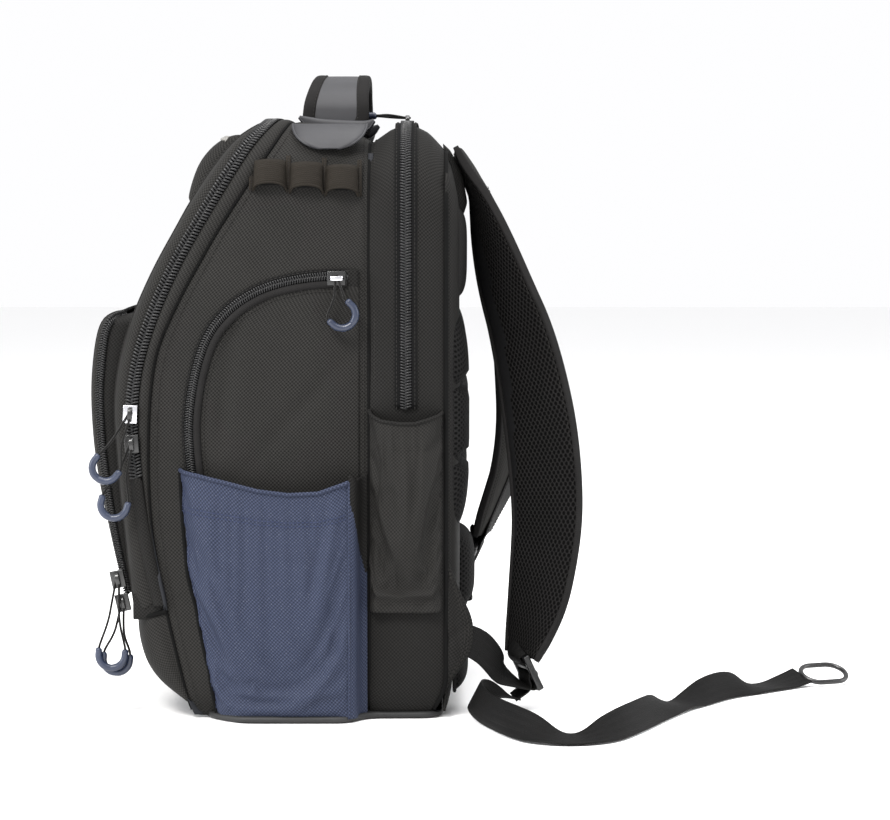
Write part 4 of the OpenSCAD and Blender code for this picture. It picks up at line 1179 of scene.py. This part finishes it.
# ------------------------------------------------------------------ wings and lower webbing
LR = [[[145.8, 137, 62], [0, .3, 1]], [[145.6, 144, 60], [0, .3, 1]], [[142, 153, 54], [-.2, .35, 1]], [[133, 160, 45], [-.5, .5, .9]], [[124, 165, 36], [-.8, .5, .6]], [[117.5, 170, 29], [-1, .2, .3]], [[112.5, 176, 23], [-1, .2, .1]]]
LLW = [[[-145.8, 137, 64], [0, .1, 1]], [[-145, 141.5, 64.5], [0, 0, 1]], [[-141, 144.8, 66], [-.1, -.1, 1]], [[-132, 146.2, 70.5], [-.35, 0, .94]], [[-121, 146.4, 78.5], [-.55, .15, .82]], [[-112, 146.2, 87], [-.68, .25, .68]], [[-105.6, 146, 93.6], [-.76, .312, .571]]]
for nm, l in (("right", LR), ("left", LLW)):
    pts, us = [a for a, _ in l], [b for _, b in l]
    at, rz, rx, ry = ((110.4, 181, 45), 20, 26, 0) if nm == "right" else ((-85, 153, 117), -6, -22, 38)
    sgn = 1 if nm == "right" else -1
    thr = place([[0, -1.5, -31.5], [0, 0.2, -23.8], [0, 4.0, -19.5], [0, 3.6, -14.6], [0, -0.5, -11.4 - 3.5], [0, -4.2, -19], [0, -4.6, -27]], at, rz, rx, ry)
    ux = place([[1, 0, 0]], (0, 0, 0), rz, rx, ry)[0] * (-1)
    q = np.vstack([np.hstack([arr(pts), unit(arr(us))]), np.hstack([thr, np.tile(ux, (len(thr), 1))])])
    if nm == "right":                       # runs on out of the lock into the loose tail
        q = np.vstack([q[:len(pts) - 1], q[len(pts):], np.hstack([arr([[109, 177, 10]]) + 0.0, unit(arr([[-1, -.3, 0]]))])])
    q = smooth(q, 2)
    o = ribbon("lower_webbing_band_" + nm, q[:, :3], u_perp(q[:, :3], q[:, 3:]), 24.4, 1.8, WEB)
    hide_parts("lower_webbing_" + nm)
    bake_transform(o)
    # wing: a doubled triangle of cloth, its point sewn round the webbing
    wa = resample([[122.5, 127], [122.8, 80], [122.0, 24]], 40)
    wb = resample(smooth([[123.0, 127.5], [128, 112], [136, 93], [143.0, 78.5], [144.2, 64], [141.0, 49], [131, 35], [122.4, 23.5]], 2), 40)
    tt_ = np.linspace(0, 1, 18)
    WY = wa[:, None, 0] + (wb - wa)[:, None, 0] * tt_[None]
    WZ = wa[:, None, 1] + (wb - wa)[:, None, 1] * tt_[None]
    WX = 146.0 + 1.6 * np.sin(np.pi * tt_)[None] * np.sin(np.pi * np.linspace(0, 1, 40))[:, None] - 1.5 * np.exp(-((WY - 132 + (WZ - 70) * 0.15) / 3.0) ** 2) - 1.0 * np.exp(-((WZ - 60 - (WY - 123) * 0.7) / 4.0) ** 2) + 0.5 * wave_noise(WY / 9, WZ / 12, 99)
    Wg = np.stack([WX * sgn, WY, WZ], -1)
    wg = surf("side_wing_" + nm, Wg, [NYLON2, NYLON2], thick=2.6, offset=0.0, flip=bool(gnormal(Wg)[20, 9][0] * sgn < 0), sub=1)
    put(wg, "bag", "nylon", "side_wings")
    put(tube("side_wing_edge_" + nm, np.stack([sgn * WX[:, -1], WY[:, -1], WZ[:, -1]], 1), 1.5, NYLON2, n=8), "bag", "nylon")
    for k_ in (-3, -5):
        put(stitches("thread_wing_%s_%d" % (nm, -k_), np.stack([sgn * (WX[:, k_] + 1.6), WY[:, k_], WZ[:, k_]], 1)[4:-4], [sgn, 0, 0], THREAD, up=0.0), "bag", "nylon")


# ------------------------------------------------------------------ heights of the body's side skin
def body_x(y, z):
    """Outer skin of the main body's side at a depth y and height z."""
    y, z = np.broadcast_arrays(np.asarray(y, float), np.asarray(z, float))
    w0 = welt_y(z)
    t = np.clip((y - w0) / (65.0 - w0), 0.001, 0.999)
    sx = np.sin(np.pi * t)
    b = -1.2 + 5.2 * sx ** 0.55 + 0.9 * wave_noise(y / 26.0, z / 34.0 + 3, 11) * sx ** 0.4
    Q = np.stack([np.full(y.shape, 148.0), y, z], -1)
    return sec_x(z) + b + body_creases(Q) * np.clip(np.sin(np.pi * (0.02 + 0.96 * t)), 0, 1) ** 0.5


# ------------------------------------------------------------------ pocket cloth by simulation
def cloth_pocket(name, P, grow, frames_n, mats, flip, seed, hold_top=0.75, stiff=1.4, post=None, thick=1.5, bulge=0.0):
    """A panel sewn along its foot and both sides and free along its hem. Its cut is a little larger than its place, so it gathers."""
    nu, nv = P.shape[:2]
    N = gnormal(P, flip)
    s, t = np.linspace(0, 1, nu)[:, None], np.linspace(0, 1, nv)[None]
    P = P + N * (bulge * np.sin(np.pi * t) ** 0.6 * np.sin(np.pi * np.clip(s, 0, 1) * 0.93) ** 0.6)[..., None]
    P = P + N * (0.5 * wave_noise(t * 14 + 0 * s, s * 9, seed) * np.sin(np.pi * t) * s ** 0.3)[..., None]
    o = surf(name + "_sim", P, mats[0], flip=flip)
    vg = o.vertex_groups.new(name="pin")
    for i in range(nu):
        for j in range(nv):
            w_ = 1.0 if (i == 0 or j in (0, nv - 1)) else (hold_top if i == nu - 1 else 0.0)
            if w_ > 0:
                vg.add([i * nv + j], w_, "REPLACE")
    c = o.modifiers.new("cloth", "CLOTH")
    st = c.settings
    st.quality = 6
    st.mass = 0.35
    st.tension_stiffness = st.compression_stiffness = 18
    st.shear_stiffness = 8
    st.bending_stiffness = stiff
    st.shrink_min = -grow
    st.vertex_group_mass = "pin"
    st.use_pressure = True
    st.uniform_pressure_force = 0.9
    st.effector_weights.gravity = 0.25
    c.collision_settings.use_collision = False
    c.collision_settings.use_self_collision = False
    c.point_cache.frame_start, c.point_cache.frame_end = 1, frames_n
    for f in range(1, frames_n + 1):
        scene.frame_set(f)
    dg = bpy.context.evaluated_depsgraph_get()
    ev = o.evaluated_get(dg)
    me = ev.to_mesh()
    co = np.empty(len(me.vertices) * 3)
    me.vertices.foreach_get("co", co)
    Q = co.reshape(nu, nv, 3) / MM
    ev.to_mesh_clear()
    scene.frame_set(1)
    bpy.data.objects.remove(o)
    d = Q - P
    far = np.linalg.norm(d, axis=-1, keepdims=True)
    P = P + d * np.minimum(1, 9.0 / np.maximum(far, 1e-6))
    if post is not None:
        P = P + gnormal(P, flip) * post(P)[..., None]
    o = surf(name, P, mats, thick=thick, flip=flip, lining=True, sub=1)
    return o, P


LV = [[5, -54], [45, -62], [85, -70], [110, -76], [150, -80], [185, -81.5]]
HEMO = [9, 6, 1, -5, -8, -7, 1]


def pocket_grid(sgn, nu=54, nv=84):
    zs = np.linspace(0, 1, nu)
    rows = []
    for s in zs:
        z0 = 3 + 182 * s
        f = np.interp(z0, [l[0] for l in LV], [l[1] for l in LV])
        b = np.interp(s, [0, 0.12, 0.5, 1], [-4.0, 1.0, 1.5, 0.0])
        y0 = f
        col = arr([[148.6, f], [153, f + 1.5], [160, f + 6], [167, f + 17], [171 + b, f + 34], [172 + b, f + 52], [172 + b, 0], [172 + b, 26], [171.5 + b * 0.7, 44], [169, 49]])
        col = resample(smooth(col, 2), nv)
        hz = np.interp(np.linspace(0, 1, nv), np.linspace(0, 1, 7), HEMO) * s ** 3
        rows.append(np.stack([col[:, 0] * sgn, col[:, 1], z0 + hz], 1))
    return np.stack(rows)


def blue_creases(P):
    y, z = P[..., 1], P[..., 2]
    d = 0
    for y0, z0, y1, z1, wd, dep in ((-71, 143, -41, 69, 4.5, 3.0), (-67, 89, -47, 51, 4.0, 2.2), (30, 152, 19, 95, 4.0, 2.0), (-20, 60, 6, 22, 5, 1.8), (8, 70, 34, 30, 5, 1.6), (-55, 120, -30, 108, 5, 1.2),
                                  (-10, 128, 20, 120, 6, 1.0), (-60, 40, -35, 18, 4, 1.6), (36, 90, 40, 40, 4, 1.4), (-36, 44, -8, 14, 5, 1.4)):
        L = math.hypot(y1 - y0, z1 - z0)
        uy, uz = (y1 - y0) / L, (z1 - z0) / L
        u = (y - (y0 + y1) / 2) * uy + (z - (z0 + z1) / 2) * uz
        v = -(y - (y0 + y1) / 2) * uz + (z - (z0 + z1) / 2) * uy
        e = np.exp(-(np.abs(u) / (L * 0.55)) ** 3)
        d = d - dep * e * np.exp(-(v / wd) ** 2) + dep * 0.55 * e * np.exp(-((v - wd * 1.7) / (wd * 1.2)) ** 2)
    return d


for sgn, nm in ((1, "right"), (-1, "left")):
    G0 = pocket_grid(sgn)
    o, PQ = cloth_pocket("side_pocket_cloth_" + nm, G0, 0.018, 16, [BLUE, LINING], sgn > 0, 5 + sgn, post=blue_creases, bulge=1.5)
    put(o, "bag", "blue_nylon", "side_pocket_" + nm)
    NQ = gnormal(PQ, sgn > 0)
    put(tube("side_pocket_hem_" + nm, PQ[-1] + NQ[-1] * 0.2, 1.7, BLUE, n=8), "bag", "blue_nylon")
    for r_, nme in ((-8, "low"), (-9, "lower")):
        put(stitches("thread_hem_%s_%s" % (nm, nme), PQ[r_, 2:-2] , NQ[r_, 2:-2], THREADB, pitch=3.2, ln=2.3, r=0.42, up=0.25), "bag", "blue_nylon")
    put(stitches("thread_pocket_front_" + nm, PQ[2:-2, 3], NQ[2:-2, 3], THREADB, up=0.3), "bag", "blue_nylon")
    put(tube("side_pocket_front_binding_" + nm, PQ[:, 0] + arr([sgn * 1.2, 0, 0]), 1.6, DARKB, n=8), "bag", "nylon")
    put(tube("side_pocket_rear_binding_" + nm, PQ[:, -1] + arr([sgn * 0.2, 0.4, 0]), 1.1, BLUE, n=8), "bag", "nylon")
    # pleated black gusset at the pocket's rear
    t = np.linspace(0, 1, 22)
    z = np.linspace(3, 192, 50)
    yy = 49.5 + (63.0 - 49.5) * t
    xx = 169.5 + (149.0 - 169.5) * t
    pl = 2.4 * np.sin(2 * math.pi * t) * 1.0
    X = xx[None] + pl[None] * (0.5 + 0.5 * (z[:, None] / 190)) + 0.8 * wave_noise(t[None] * 6, z[:, None] / 20, 8)
    Y = yy[None] + 0.5 * pl[None] + 0 * z[:, None]
    Gp = np.stack([X * sgn, Y, z[:, None] + 0 * X - (z[:, None] / 192) * 5 * np.sin(np.pi * t)[None]], -1)
    ms = []
    for i_ in range(49):
        for j_ in range(21):
            ms.append(2 if z[i_] < 172 - 62 * (t[j_] + 0.02) else 0)
    put(surf("side_pocket_gusset_cloth_" + nm, Gp, [NYLON2, LINING, BLUE], thick=1.4, flip=(sgn > 0), sub=1, midx=ms), "bag", "dark_nylon", "side_pocket_gusset_" + nm)

# tube pockets
for sgn, nm in ((1, "right"), (-1, "left")):
    nu, nv = 46, 56
    rows = []
    for s in np.linspace(0, 1, nu):
        z0 = 84 + 151 * s
        b = np.interp(s, [0, 0.1, 0.6, 1], [-7, -1, 1.5, 1])
        col = resample(smooth([[148, 65], [153, 65.5], [159, 67.5], [165 + b, 76], [167 + b, 92], [165 + b, 108], [159, 116.5], [153, 119.5], [148, 121]], 2), nv)
        hz = np.interp(np.linspace(0, 1, nv), [0, 0.25, 0.45, 0.6, 0.8, 1], [5, -2, -4, -4, 0, 3]) * s ** 3
        rows.append(np.stack([col[:, 0] * sgn, col[:, 1], z0 + hz], 1))
    G0 = np.stack(rows)

    def tube_creases(P):
        y, z = P[..., 1], P[..., 2]
        d = 0
        for y0, z0, y1, z1, wd, dep in ((76, 220, 84, 150, 3.4, 1.8), (104, 215, 96, 140, 3.4, 1.8), (80, 130, 92, 98, 3.4, 1.6), (100, 125, 110, 100, 3, 1.2), (88, 226, 92, 190, 3, 1.2)):
            L = math.hypot(y1 - y0, z1 - z0)
            uy, uz = (y1 - y0) / L, (z1 - z0) / L
            u = (y - (y0 + y1) / 2) * uy + (z - (z0 + z1) / 2) * uz
            v = -(y - (y0 + y1) / 2) * uz + (z - (z0 + z1) / 2) * uy
            d = d - dep * np.exp(-(np.abs(u) / (L * 0.55)) ** 3) * np.exp(-(v / wd) ** 2)
        return d
    o, PQ = cloth_pocket("tube_pocket_cloth_" + nm, G0, 0.045, 14, [NYLON, LINING], sgn > 0, 15 + sgn, post=tube_creases, bulge=0.5)
    put(o, "bag", "dark_nylon", "tube_pocket_" + nm)
    NQ = gnormal(PQ, sgn > 0)
    put(tube("tube_pocket_hem_" + nm, PQ[-1], 1.5, NYLON2, n=8), "bag", "dark_nylon")
    put(stitches("thread_tube_" + nm, PQ[-7, 2:-2], NQ[-7, 2:-2], THREAD, up=0.25), "bag", "dark_nylon")
    put(stitches("thread_tube_low_" + nm, PQ[2, 2:-2], NQ[2, 2:-2], THREAD, up=0.25), "bag", "dark_nylon")

# ------------------------------------------------------------------ arched side pocket with its coil zip and bound welt
ARCH = smooth([[48, 342], [33, 342], [12, 340], [-10, 335], [-28, 327], [-44, 315], [-58, 298], [-67, 272], [-72, 243], [-73, 219], [-70, 188]], 2)
az = np.linspace(172, 338.5, 60)
ay = at_z(ARCH, az)
t = np.linspace(0, 1, 44)
Y = ay[:, None] + 4.5 + (57.0 - ay[:, None] - 4.5) * t[None]
Z = az[:, None] + 0 * Y
lift = 1.2 + 2.6 * np.clip(np.sin(np.pi * t), 0, 1)[None] ** 0.4 * np.clip((341 - Z) / 14, 0, 1) ** 0.6 * (1 - 0.8 * t[None] ** 4)
val = -2.6 * np.exp(-((Y + 47 - (Z - 250) * 0.08) / 7.0) ** 2) * sstep(Z, 190, 240) * (1 - sstep(Z, 285, 318))
cr = -1.3 * np.exp(-(((Y + 20) * 0.55 + (Z - 290) * 0.83) / 6) ** 2) * np.exp(-((Y + 20) / 34) ** 2) - 1.2 * np.exp(-(((Y - 10) * 0.75 - (Z - 240) * 0.66) / 7) ** 2) * np.exp(-((Z - 240) / 40) ** 2)
for sgn, nm in ((1, "right"), (-1, "left")):
    X = np.maximum(body_x(Y, Z) + lift + val + cr, body_x(Y, Z) + 0.5)
    G0 = np.stack([X * sgn, Y, Z], -1)
    o = surf("arch_pocket_panel_" + nm, G0, [NYLON, LINING], thick=1.5, flip=(sgn > 0), lining=True, sub=1)
    put(o, "bag", "nylon", "arch_panels")
    ap = resample(ARCH, 150)
    zx = body_x(ap[:, 0], ap[:, 1])
    base = np.stack([(zx + 0.9) * sgn, ap[:, 0], ap[:, 1]], 1)
    nn = np.tile(arr([sgn, 0, 0]), (150, 1))
    inw = np.cross(nn, tangents(base)) * sgn
    if np.mean(inw[:, 1]) < 0:
        inw = -inw
    put(ribbon("arch_zip_tape_" + nm, base - inw * 1.0 + nn * 0.2, inw, 12.0, 0.9, TAPE), "bag", "zip_coil", "arch_zips")
    for side in (1, -1):
        put(coil("arch_coil_%s_%d" % (nm, side), base + nn * 0.7 - inw * 1.6, nn, None, COIL, 1.9, 3.6, side, lift=0.6, r=0.72), "bag", "zip_coil")
    put(tube("arch_welt_" + nm, base + inw * 4.6 + nn * 1.5, 2.9, BIND, n=10), "bag", "nylon")
    put(stitches("thread_arch_" + nm, base + inw * 9.6 + nn * 3.0, nn, THREAD, up=0.2), "bag", "nylon")
    put(stitches("thread_arch_out_" + nm, base - inw * 6.0 + nn * 0.6, nn, THREAD, up=0.2), "bag", "nylon")
    ep = [[(float(body_x(50 + k_, 342)) + 1.6) * sgn, 46 + k_, 342] for k_ in (0, 4, 8, 11)]
    put(ribbon("arch_zip_end_" + nm, ep, [0, 0, 1], 13, 1.6, NYLON2), "bag", "nylon")

# ------------------------------------------------------------------ pen loops
TLT = math.radians(34)
for i, y0 in enumerate((-11, 17, 44)):
    a = np.linspace(-math.pi / 2, math.pi / 2, 30)
    s = np.linspace(0, 1, 18)
    zb_ = 409 - 2.0 * i + 22 * s
    xb_ = np.array([float(body_x(y0, z_)) for z_ in zb_]) + 0.8
    hgt = 11.5 - 1.5 * s - 5.5 * sstep(s, 0.70, 1.0) ** 2
    H_ = hgt[:, None] * np.maximum(np.cos(a), 0)[None] ** 0.85
    X = xb_[:, None] + H_ * math.cos(TLT)
    Z = zb_[:, None] + H_ * math.sin(TLT)
    Y = y0 + 13.0 * np.sin(a)[None] * (1 - 0.05 * s)[:, None] + 0 * X
    Gp = np.stack([X, Y, Z], -1)
    uvp = np.stack([np.repeat(zb_[:, None], 30, 1), np.repeat((a * 13)[None], 18, 0)], -1).reshape(-1, 2)
    o = surf("pen_loop_%d" % (i + 1), Gp, [LOOPW, LOOPW], thick=1.6, flip=True, uv=uvp, sub=1)
    put(o, "bag", "loop_webbing", "pen_loops")
    put(tube("pen_loop_edge_%d" % (i + 1), Gp[0], 0.8, LOOPW, n=6), "bag", "loop_webbing")
    kk = np.linspace(0.06, 0.93, 6)
    # painted shade: a flat sheet of dark piping cloth fills each loop's mouth and stands in for the shadow inside the
    # loop
    In = np.stack([np.stack([xb_[3] - 1.2 + kk * (Gp[3, c_, 0] - xb_[3]), np.full(6, Gp[3, c_, 1]), zb_[3] + kk * (Gp[3, c_, 2] - zb_[3])], -1) for c_ in range(30)], 0)
    put(surf("pen_loop_inside_%d" % (i + 1), In, [DARKB], flip=False), "bag", "loop_webbing")
for y0 in (-25.5, 3.0, 30.5, 57.5):
    zz = np.linspace(408, 436, 8)
    p = np.stack([np.array([float(body_x(y0, z)) for z in zz]) + 0.6, np.full(8, y0), zz - y0 * 0.06], 1)
    put(ribbon("pen_strip_%d" % int(y0 + 30), p, [0, 1, 0], 3.6, 1.6, LOOPW), "bag", "loop_webbing")
    put(stitches("thread_pen_%d" % int(y0 + 30), p, [1, 0, 0], THREAD, pitch=1.8, ln=1.2, up=1.0), "bag", "loop_webbing")

# ------------------------------------------------------------------ carry handle
HR = [[-70, 36.5, 456.5, 51, 6], [-70, 36.5, 464, 51, 6.5], [-69.5, 36.8, 470, 50.5, 7], [-68, 37.2, 477, 49.5, 9], [-61, 38.6, 486.5, 46, 9], [-46, 40, 493.5, 44, 9], [-24, 41, 497.5, 42, 9], [0, 41, 498.3, 42, 9]]
HR = HR + [[-r[0]] + r[1:] for r in HR[:-1][::-1]]
q = resample(smooth(HR, 3), 120)
hp, hw_, ht = q[:, :3], q[:, 3], q[:, 4] * 0.92
ends = np.clip(np.minimum(np.arange(120), 119 - np.arange(120)) / 7.0, 0, 1)
hwv = hw_ * (0.86 + 0.14 * ends)
o = ribbon("handle_core", hp, np.tile([0, 1, 0], (120, 1)), hwv, ht, [RUBP, NYLON2], nside=21, edge=0.55, midx_fn=lambda j, x, y: 0 if y >= 0 else 1, bulge=0.0)
put(o, "handle", "grey_rubber", "handle_grip")
th_ = tangents(hp)
hn = unit(np.cross(th_, np.tile([0, 1, 0], (120, 1))))
if hn[60][2] < 0:
    hn = -hn
for sg in (1, -1):
    e = hp + arr([0, 1, 0]) * (sg * (hwv / 2 - 4.2))[:, None]
    put(ribbon("handle_binding_%s" % ("rear" if sg > 0 else "front"), e, np.tile([0, 1, 0], (120, 1)), 10.4, ht + 1.7, BIND, nside=13, edge=0.7), "handle", "nylon")
    for sd in (1, -1):
        ee = hp + arr([0, 1, 0]) * (sg * (hwv / 2 - 7.6))[:, None] + hn * (sd * (ht / 2 + 0.6))[:, None]
        put(stitches("thread_handle_%d_%d" % (sg, sd), ee[6:-6], hn[6:-6] * sd, THREAD, pitch=3.0, ln=2.1, up=0.15), "handle", "nylon")
for sgn, nm in ((1, "right"), (-1, "left")):
    cr_ = smooth([[8.5, 467, 3.0], [14, 463.8, 8.0], [24, 460.0, 11.5], [38, 458.4, 13.0], [52, 458.0, 12.5], [61, 459.5, 10.0], [67.5, 464.5, 3.0]], 3)
    cr_ = resample(cr_, 60)
    p = np.stack([np.full(60, 83.5 * sgn), cr_[:, 0], cr_[:, 1]], 1)
    U = np.cross(tangents(p), arr([1, 0, 0]))
    put(ribbon("handle_base_" + nm, p, U, cr_[:, 2], 14.0, RUBG, nside=21, edge=0.6), "bag", "grey_rubber", "handle_bases")
    put(tube("handle_base_rim_" + nm, p + arr([7.1 * sgn, 0, 0]) + U * (cr_[:, 2] / 2 - 1.2)[:, None] * 0.9, 0.7, RUBG, n=6), "bag", "grey_rubber")
    zc = np.linspace(439.5, 458.5, 16)
    hc = 27.5 * np.sqrt(np.clip(1 - ((458.5 - zc) / 19.6) ** 2, 0, 1)) + 1.0
    vv_ = np.linspace(-1, 1, 26)
    Yc = 34.0 + hc[:, None] * vv_[None]
    Xc = np.clip(np.array([[float(body_x(yy_, z_)) for yy_ in row_] for z_, row_ in zip(zc, Yc)]), 84, 146) + 2.0 * np.clip(1 - vv_ ** 8, 0, 1)[None] ** 0.5 + 0.6
    Dc = np.stack([Xc * sgn, Yc, zc[:, None] + 1.6 + 0 * Xc], -1)
    dc_ = surf("handle_base_drape_" + nm, Dc, [RUBG, RUBG], thick=1.8, offset=0.0, flip=bool(gnormal(Dc)[8, 13][0] * sgn < 0), sub=1)
    put(dc_, "bag", "grey_rubber")
    rim_ = np.vstack([Dc[::-1, 0], Dc[1:, -1]])
    put(tube("handle_base_drape_rim_" + nm, rim_ + arr([0.8 * sgn, 0, 0.4]), 1.1, RUBG, n=8), "bag", "grey_rubber")
    sl = join_parts("handle_base_slot_" + nm, [box_mesh([-1.2, -4.0, -1.2], [1.2, 4.0, 1.2], 0.5, 2)], GLOSS, (90.6 * sgn, 38, 460.5))
    put(sl, "bag", "grey_rubber")

# ------------------------------------------------------------------ rear zip over the top
for part, zmin in (("zip", 238),):
    y0, y1 = 85.0, 101.0
    p, n, z = line_on_section(93.0, lift=5.4)
    k = z >= zmin
    tape = ribbon("rear_zip_tape", p[k], np.tile([0, 1, 0], (int(k.sum()), 1)), 17.0, 0.9, TAPE)
    put(tape, "bag", "zip_coil", "rear_zip")
    for side in (1, -1):
        put(coil("rear_coil_%d" % side, p[k] + n[k] * 0.6, n[k], None, COIL, 2.2, 4.4, side, lift=0.6, r=0.85), "bag", "zip_coil")
    for dy in (-7.0, 7.0):
        q = p[k] + n[k] * 0.7
        q[:, 1] += dy
        put(stitches("thread_rear_zip_%d" % int(dy), q, n[k], THREAD, up=0.1), "bag", "zip_coil")


# ------------------------------------------------------------------ sliders and pulls
def RX(a):
    return np.array(Matrix.Rotation(math.radians(a), 3, "X"))


def slider(name, at, rx, body, node, mat, slot_name, swap=None, ry=0.0, rz=0.0, accent=None):
    """Slider: lower plate, upper plate with a waist, side flanges and an arched bail."""
    parts = [box_mesh([-0.9, -5.2, -7.0], [0.4, 5.2, 6.4], 0.5, 2), box_mesh([1.5, -5.4, -6.6], [2.7, 5.4, 7.2], 0.55, 3), box_mesh([0.2, -5.4, -6.4], [1.9, -4.3, 1.5], 0.35, 2), box_mesh([0.2, 4.3, -6.4], [1.9, 5.4, 1.5], 0.35, 2), box_mesh([0.2, -1.2, 3.2], [1.9, 1.2, 7.0], 0.35, 2)]
    o = join_parts(name, parts, mat, at, rz, rx, ry) if swap is None else None
    M = swap if swap is not None else None
    if M is not None:
        V, F = [], []
        for v, f in parts:
            k = len(V)
            V += [list(map(float, x)) for x in v]
            F += [[i + k for i in g] for g in f]
        o = obj_from(name, arr(V) @ M.T + arr(at), F, mat)
        md = o.modifiers.new("edges", "EDGE_SPLIT")
        md.split_angle = math.radians(50)
    put(o, body, slot_name, node)
    s = np.linspace(-1, 1, 19)
    b = np.stack([2.5 + 3.9 * np.clip(1 - np.abs(s) ** 2.6, 0, 1) ** 0.5, 0 * s, s * 5.2], 1)
    Mx = M if M is not None else np.array(Matrix.Rotation(math.radians(rx), 3, "X"))
    bp_ = b @ Mx.T + arr(at)
    bail = ribbon(name + "_bail", bp_, np.tile(Mx @ arr([0, 1, 0]), (19, 1)), 3.4, 1.4, accent or mat, edge=0.6)
    put(bail, body, slot_name)


def pull(name, at, M, x, l, body, node, twist=0.0, roll=0.0):
    """Doubled cord through the bail and a U-shaped rubber grip on its ends."""
    R = 10.3
    ph = np.linspace(math.radians(8), math.radians(-188), 40)
    u = np.stack([0.0 * ph, R * np.cos(ph), R * np.sin(ph)], 1)
    u = np.vstack([[[0, R, 5.0]], [[0, R + 0.1, 3.0]], u, [[0, -R - 0.1, 3.0]], [[0, -R, 5.0]]])
    u = u[np.argsort(np.r_[-2, -1, np.arange(40), 41, 42], kind="stable")]
    u = resample(smooth(u, 1), 60)
    RR = RX(roll)
    g = u @ RR.T + arr([x, 0, -l])
    rr = 2.55 + 0.35 * np.sin(np.linspace(0, math.pi, 60)) - 0.25 * np.exp(-((np.linspace(-1, 1, 60)) / 0.08) ** 2)
    rr = rr * np.clip(np.minimum(np.arange(60) + 0.6, 59.6 - np.arange(60)) / 2.2, 0.3, 1) ** 0.5
    o = tube(name + "_grip", g @ M.T + arr(at), rr, RUBB, n=14, up=M @ arr([1, 0, 0]))
    put(o, body, "blue_rubber", node)
    for sg in (1, -1):
        cpt = arr([[4.9 + 0.2 * sg, 0.8 * sg, 1.2], [4.9, 1.2 * sg, -1.2], [(4.9 + x) / 2 + 0.6 * sg, (1.8 + twist) * sg, -l * 0.28], [x + 0.8 * sg, (R * 0.35 + twist * 0.6) * sg, -l * 0.55], list(RR @ arr([0, R * 0.96 * sg, 7.5]) + arr([x, 0, -l])), list(RR @ arr([0, R * sg, 4.0]) + arr([x, 0, -l]))])
        cpt = resample(smooth(cpt, 3), 40)
        put(tube("%s_cord_%d" % (name, sg), cpt @ M.T + arr(at), 0.95, CORDM, n=8), body, "webbing")
        ca = cpt
    top = arr([[4.9, 0.9, 1.0], [5.0, 0.5, 1.9], [5.0, -0.5, 1.9], [4.9, -0.9, 1.0]])
    put(tube(name + "_cord_top", smooth(top, 2) @ M.T + arr(at), 0.95, CORDM, n=8), body, "webbing")




MU, ML_, PU, PL_, AR, RE = (150.3, -119.5, 237), (150.3, -118.5, 214), (121.1, -133, 105.5), (121.1, -129.2, 87), (151.4, 40, 342), (30, 94, 456.8)
slider("main_slider_upper_cast", MU, -3, "main_slider_upper_body", "main_slider_upper", CHROME, "bright_metal", accent=GLOSS)
slider("main_slider_lower_cast", ML_, 4, "main_slider_lower_body", "main_slider_lower", BLACKM, "black_metal")
slider("pocket_slider_upper_cast", PU, 12, "pocket_slider_upper_body", "pocket_slider_upper", BLACKM, "black_metal")
slider("pocket_slider_lower_cast", PL_, 12, "lid", "pocket_slider_lower", BLACKM, "black_metal")
ARx = (float(body_x(40, 342)) + 2.2, 40, 342)
slider("arch_slider_cast", (152.6, 40, 342), 90, "arch_slider_body", "arch_slider", BLACKM, "black_metal", accent=CHROME)
RM = np.array(Matrix.Rotation(math.radians(-90), 3, "Y"))
slider("rear_slider_cast", (30, 93, 463.0), 0, "rear_slider_body", "rear_slider", BLACKM, "black_metal", swap=RM)
pull("main_pull_upper", MU, RX(-24), 13, 44, "main_pull_upper_body", "main_pull_upper", 0.8, roll=-14)
pull("main_pull_lower", ML_, RX(-16), 8.2, 48, "main_pull_lower_body", "main_pull_lower", 0.3)
pull("pocket_pull_upper", PU, RX(-4), 13, 58, "pocket_pull_upper_body", "pocket_pull_upper", 1.0)
pull("pocket_pull_lower", PL_, RX(-6), 8.2, 44, "pocket_pull_lower_body", "pocket_pull_lower", 0.4)
pull("arch_pull", (152.6, 40, 342), RX(9), 9, 28, "arch_pull_body", "arch_pull", 0.5, roll=38)
RM2 = RM @ RX(-90)
pull("rear_pull", (30, 93, 463.0), RM2, 6.6, 30, "rear_pull_body", "rear_pull", 0.5)

# ------------------------------------------------------------------ inside the bag
zz = np.linspace(6, 438, 40)
xx = np.linspace(-140, 140, 40)
X, Z = np.meshgrid(xx, zz)
X = X / 140.0 * np.minimum(140.0, np.array([sec_x(z_) for z_ in zz])[:, None] - 9.0)
Gd = np.stack([X, 66.0 + 0.9 * wave_noise(X / 40, Z / 50, 77), Z], -1)
put(surf("divider_cloth", Gd, LINING, thick=4.0, offset=0.0), "bag", "lining", "divider_panel")
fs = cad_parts["frame_sheet"]
fs.data.materials.clear()
fs.data.materials.append(HDPE)
for f in fs.data.polygons:
    f.material_index = 0
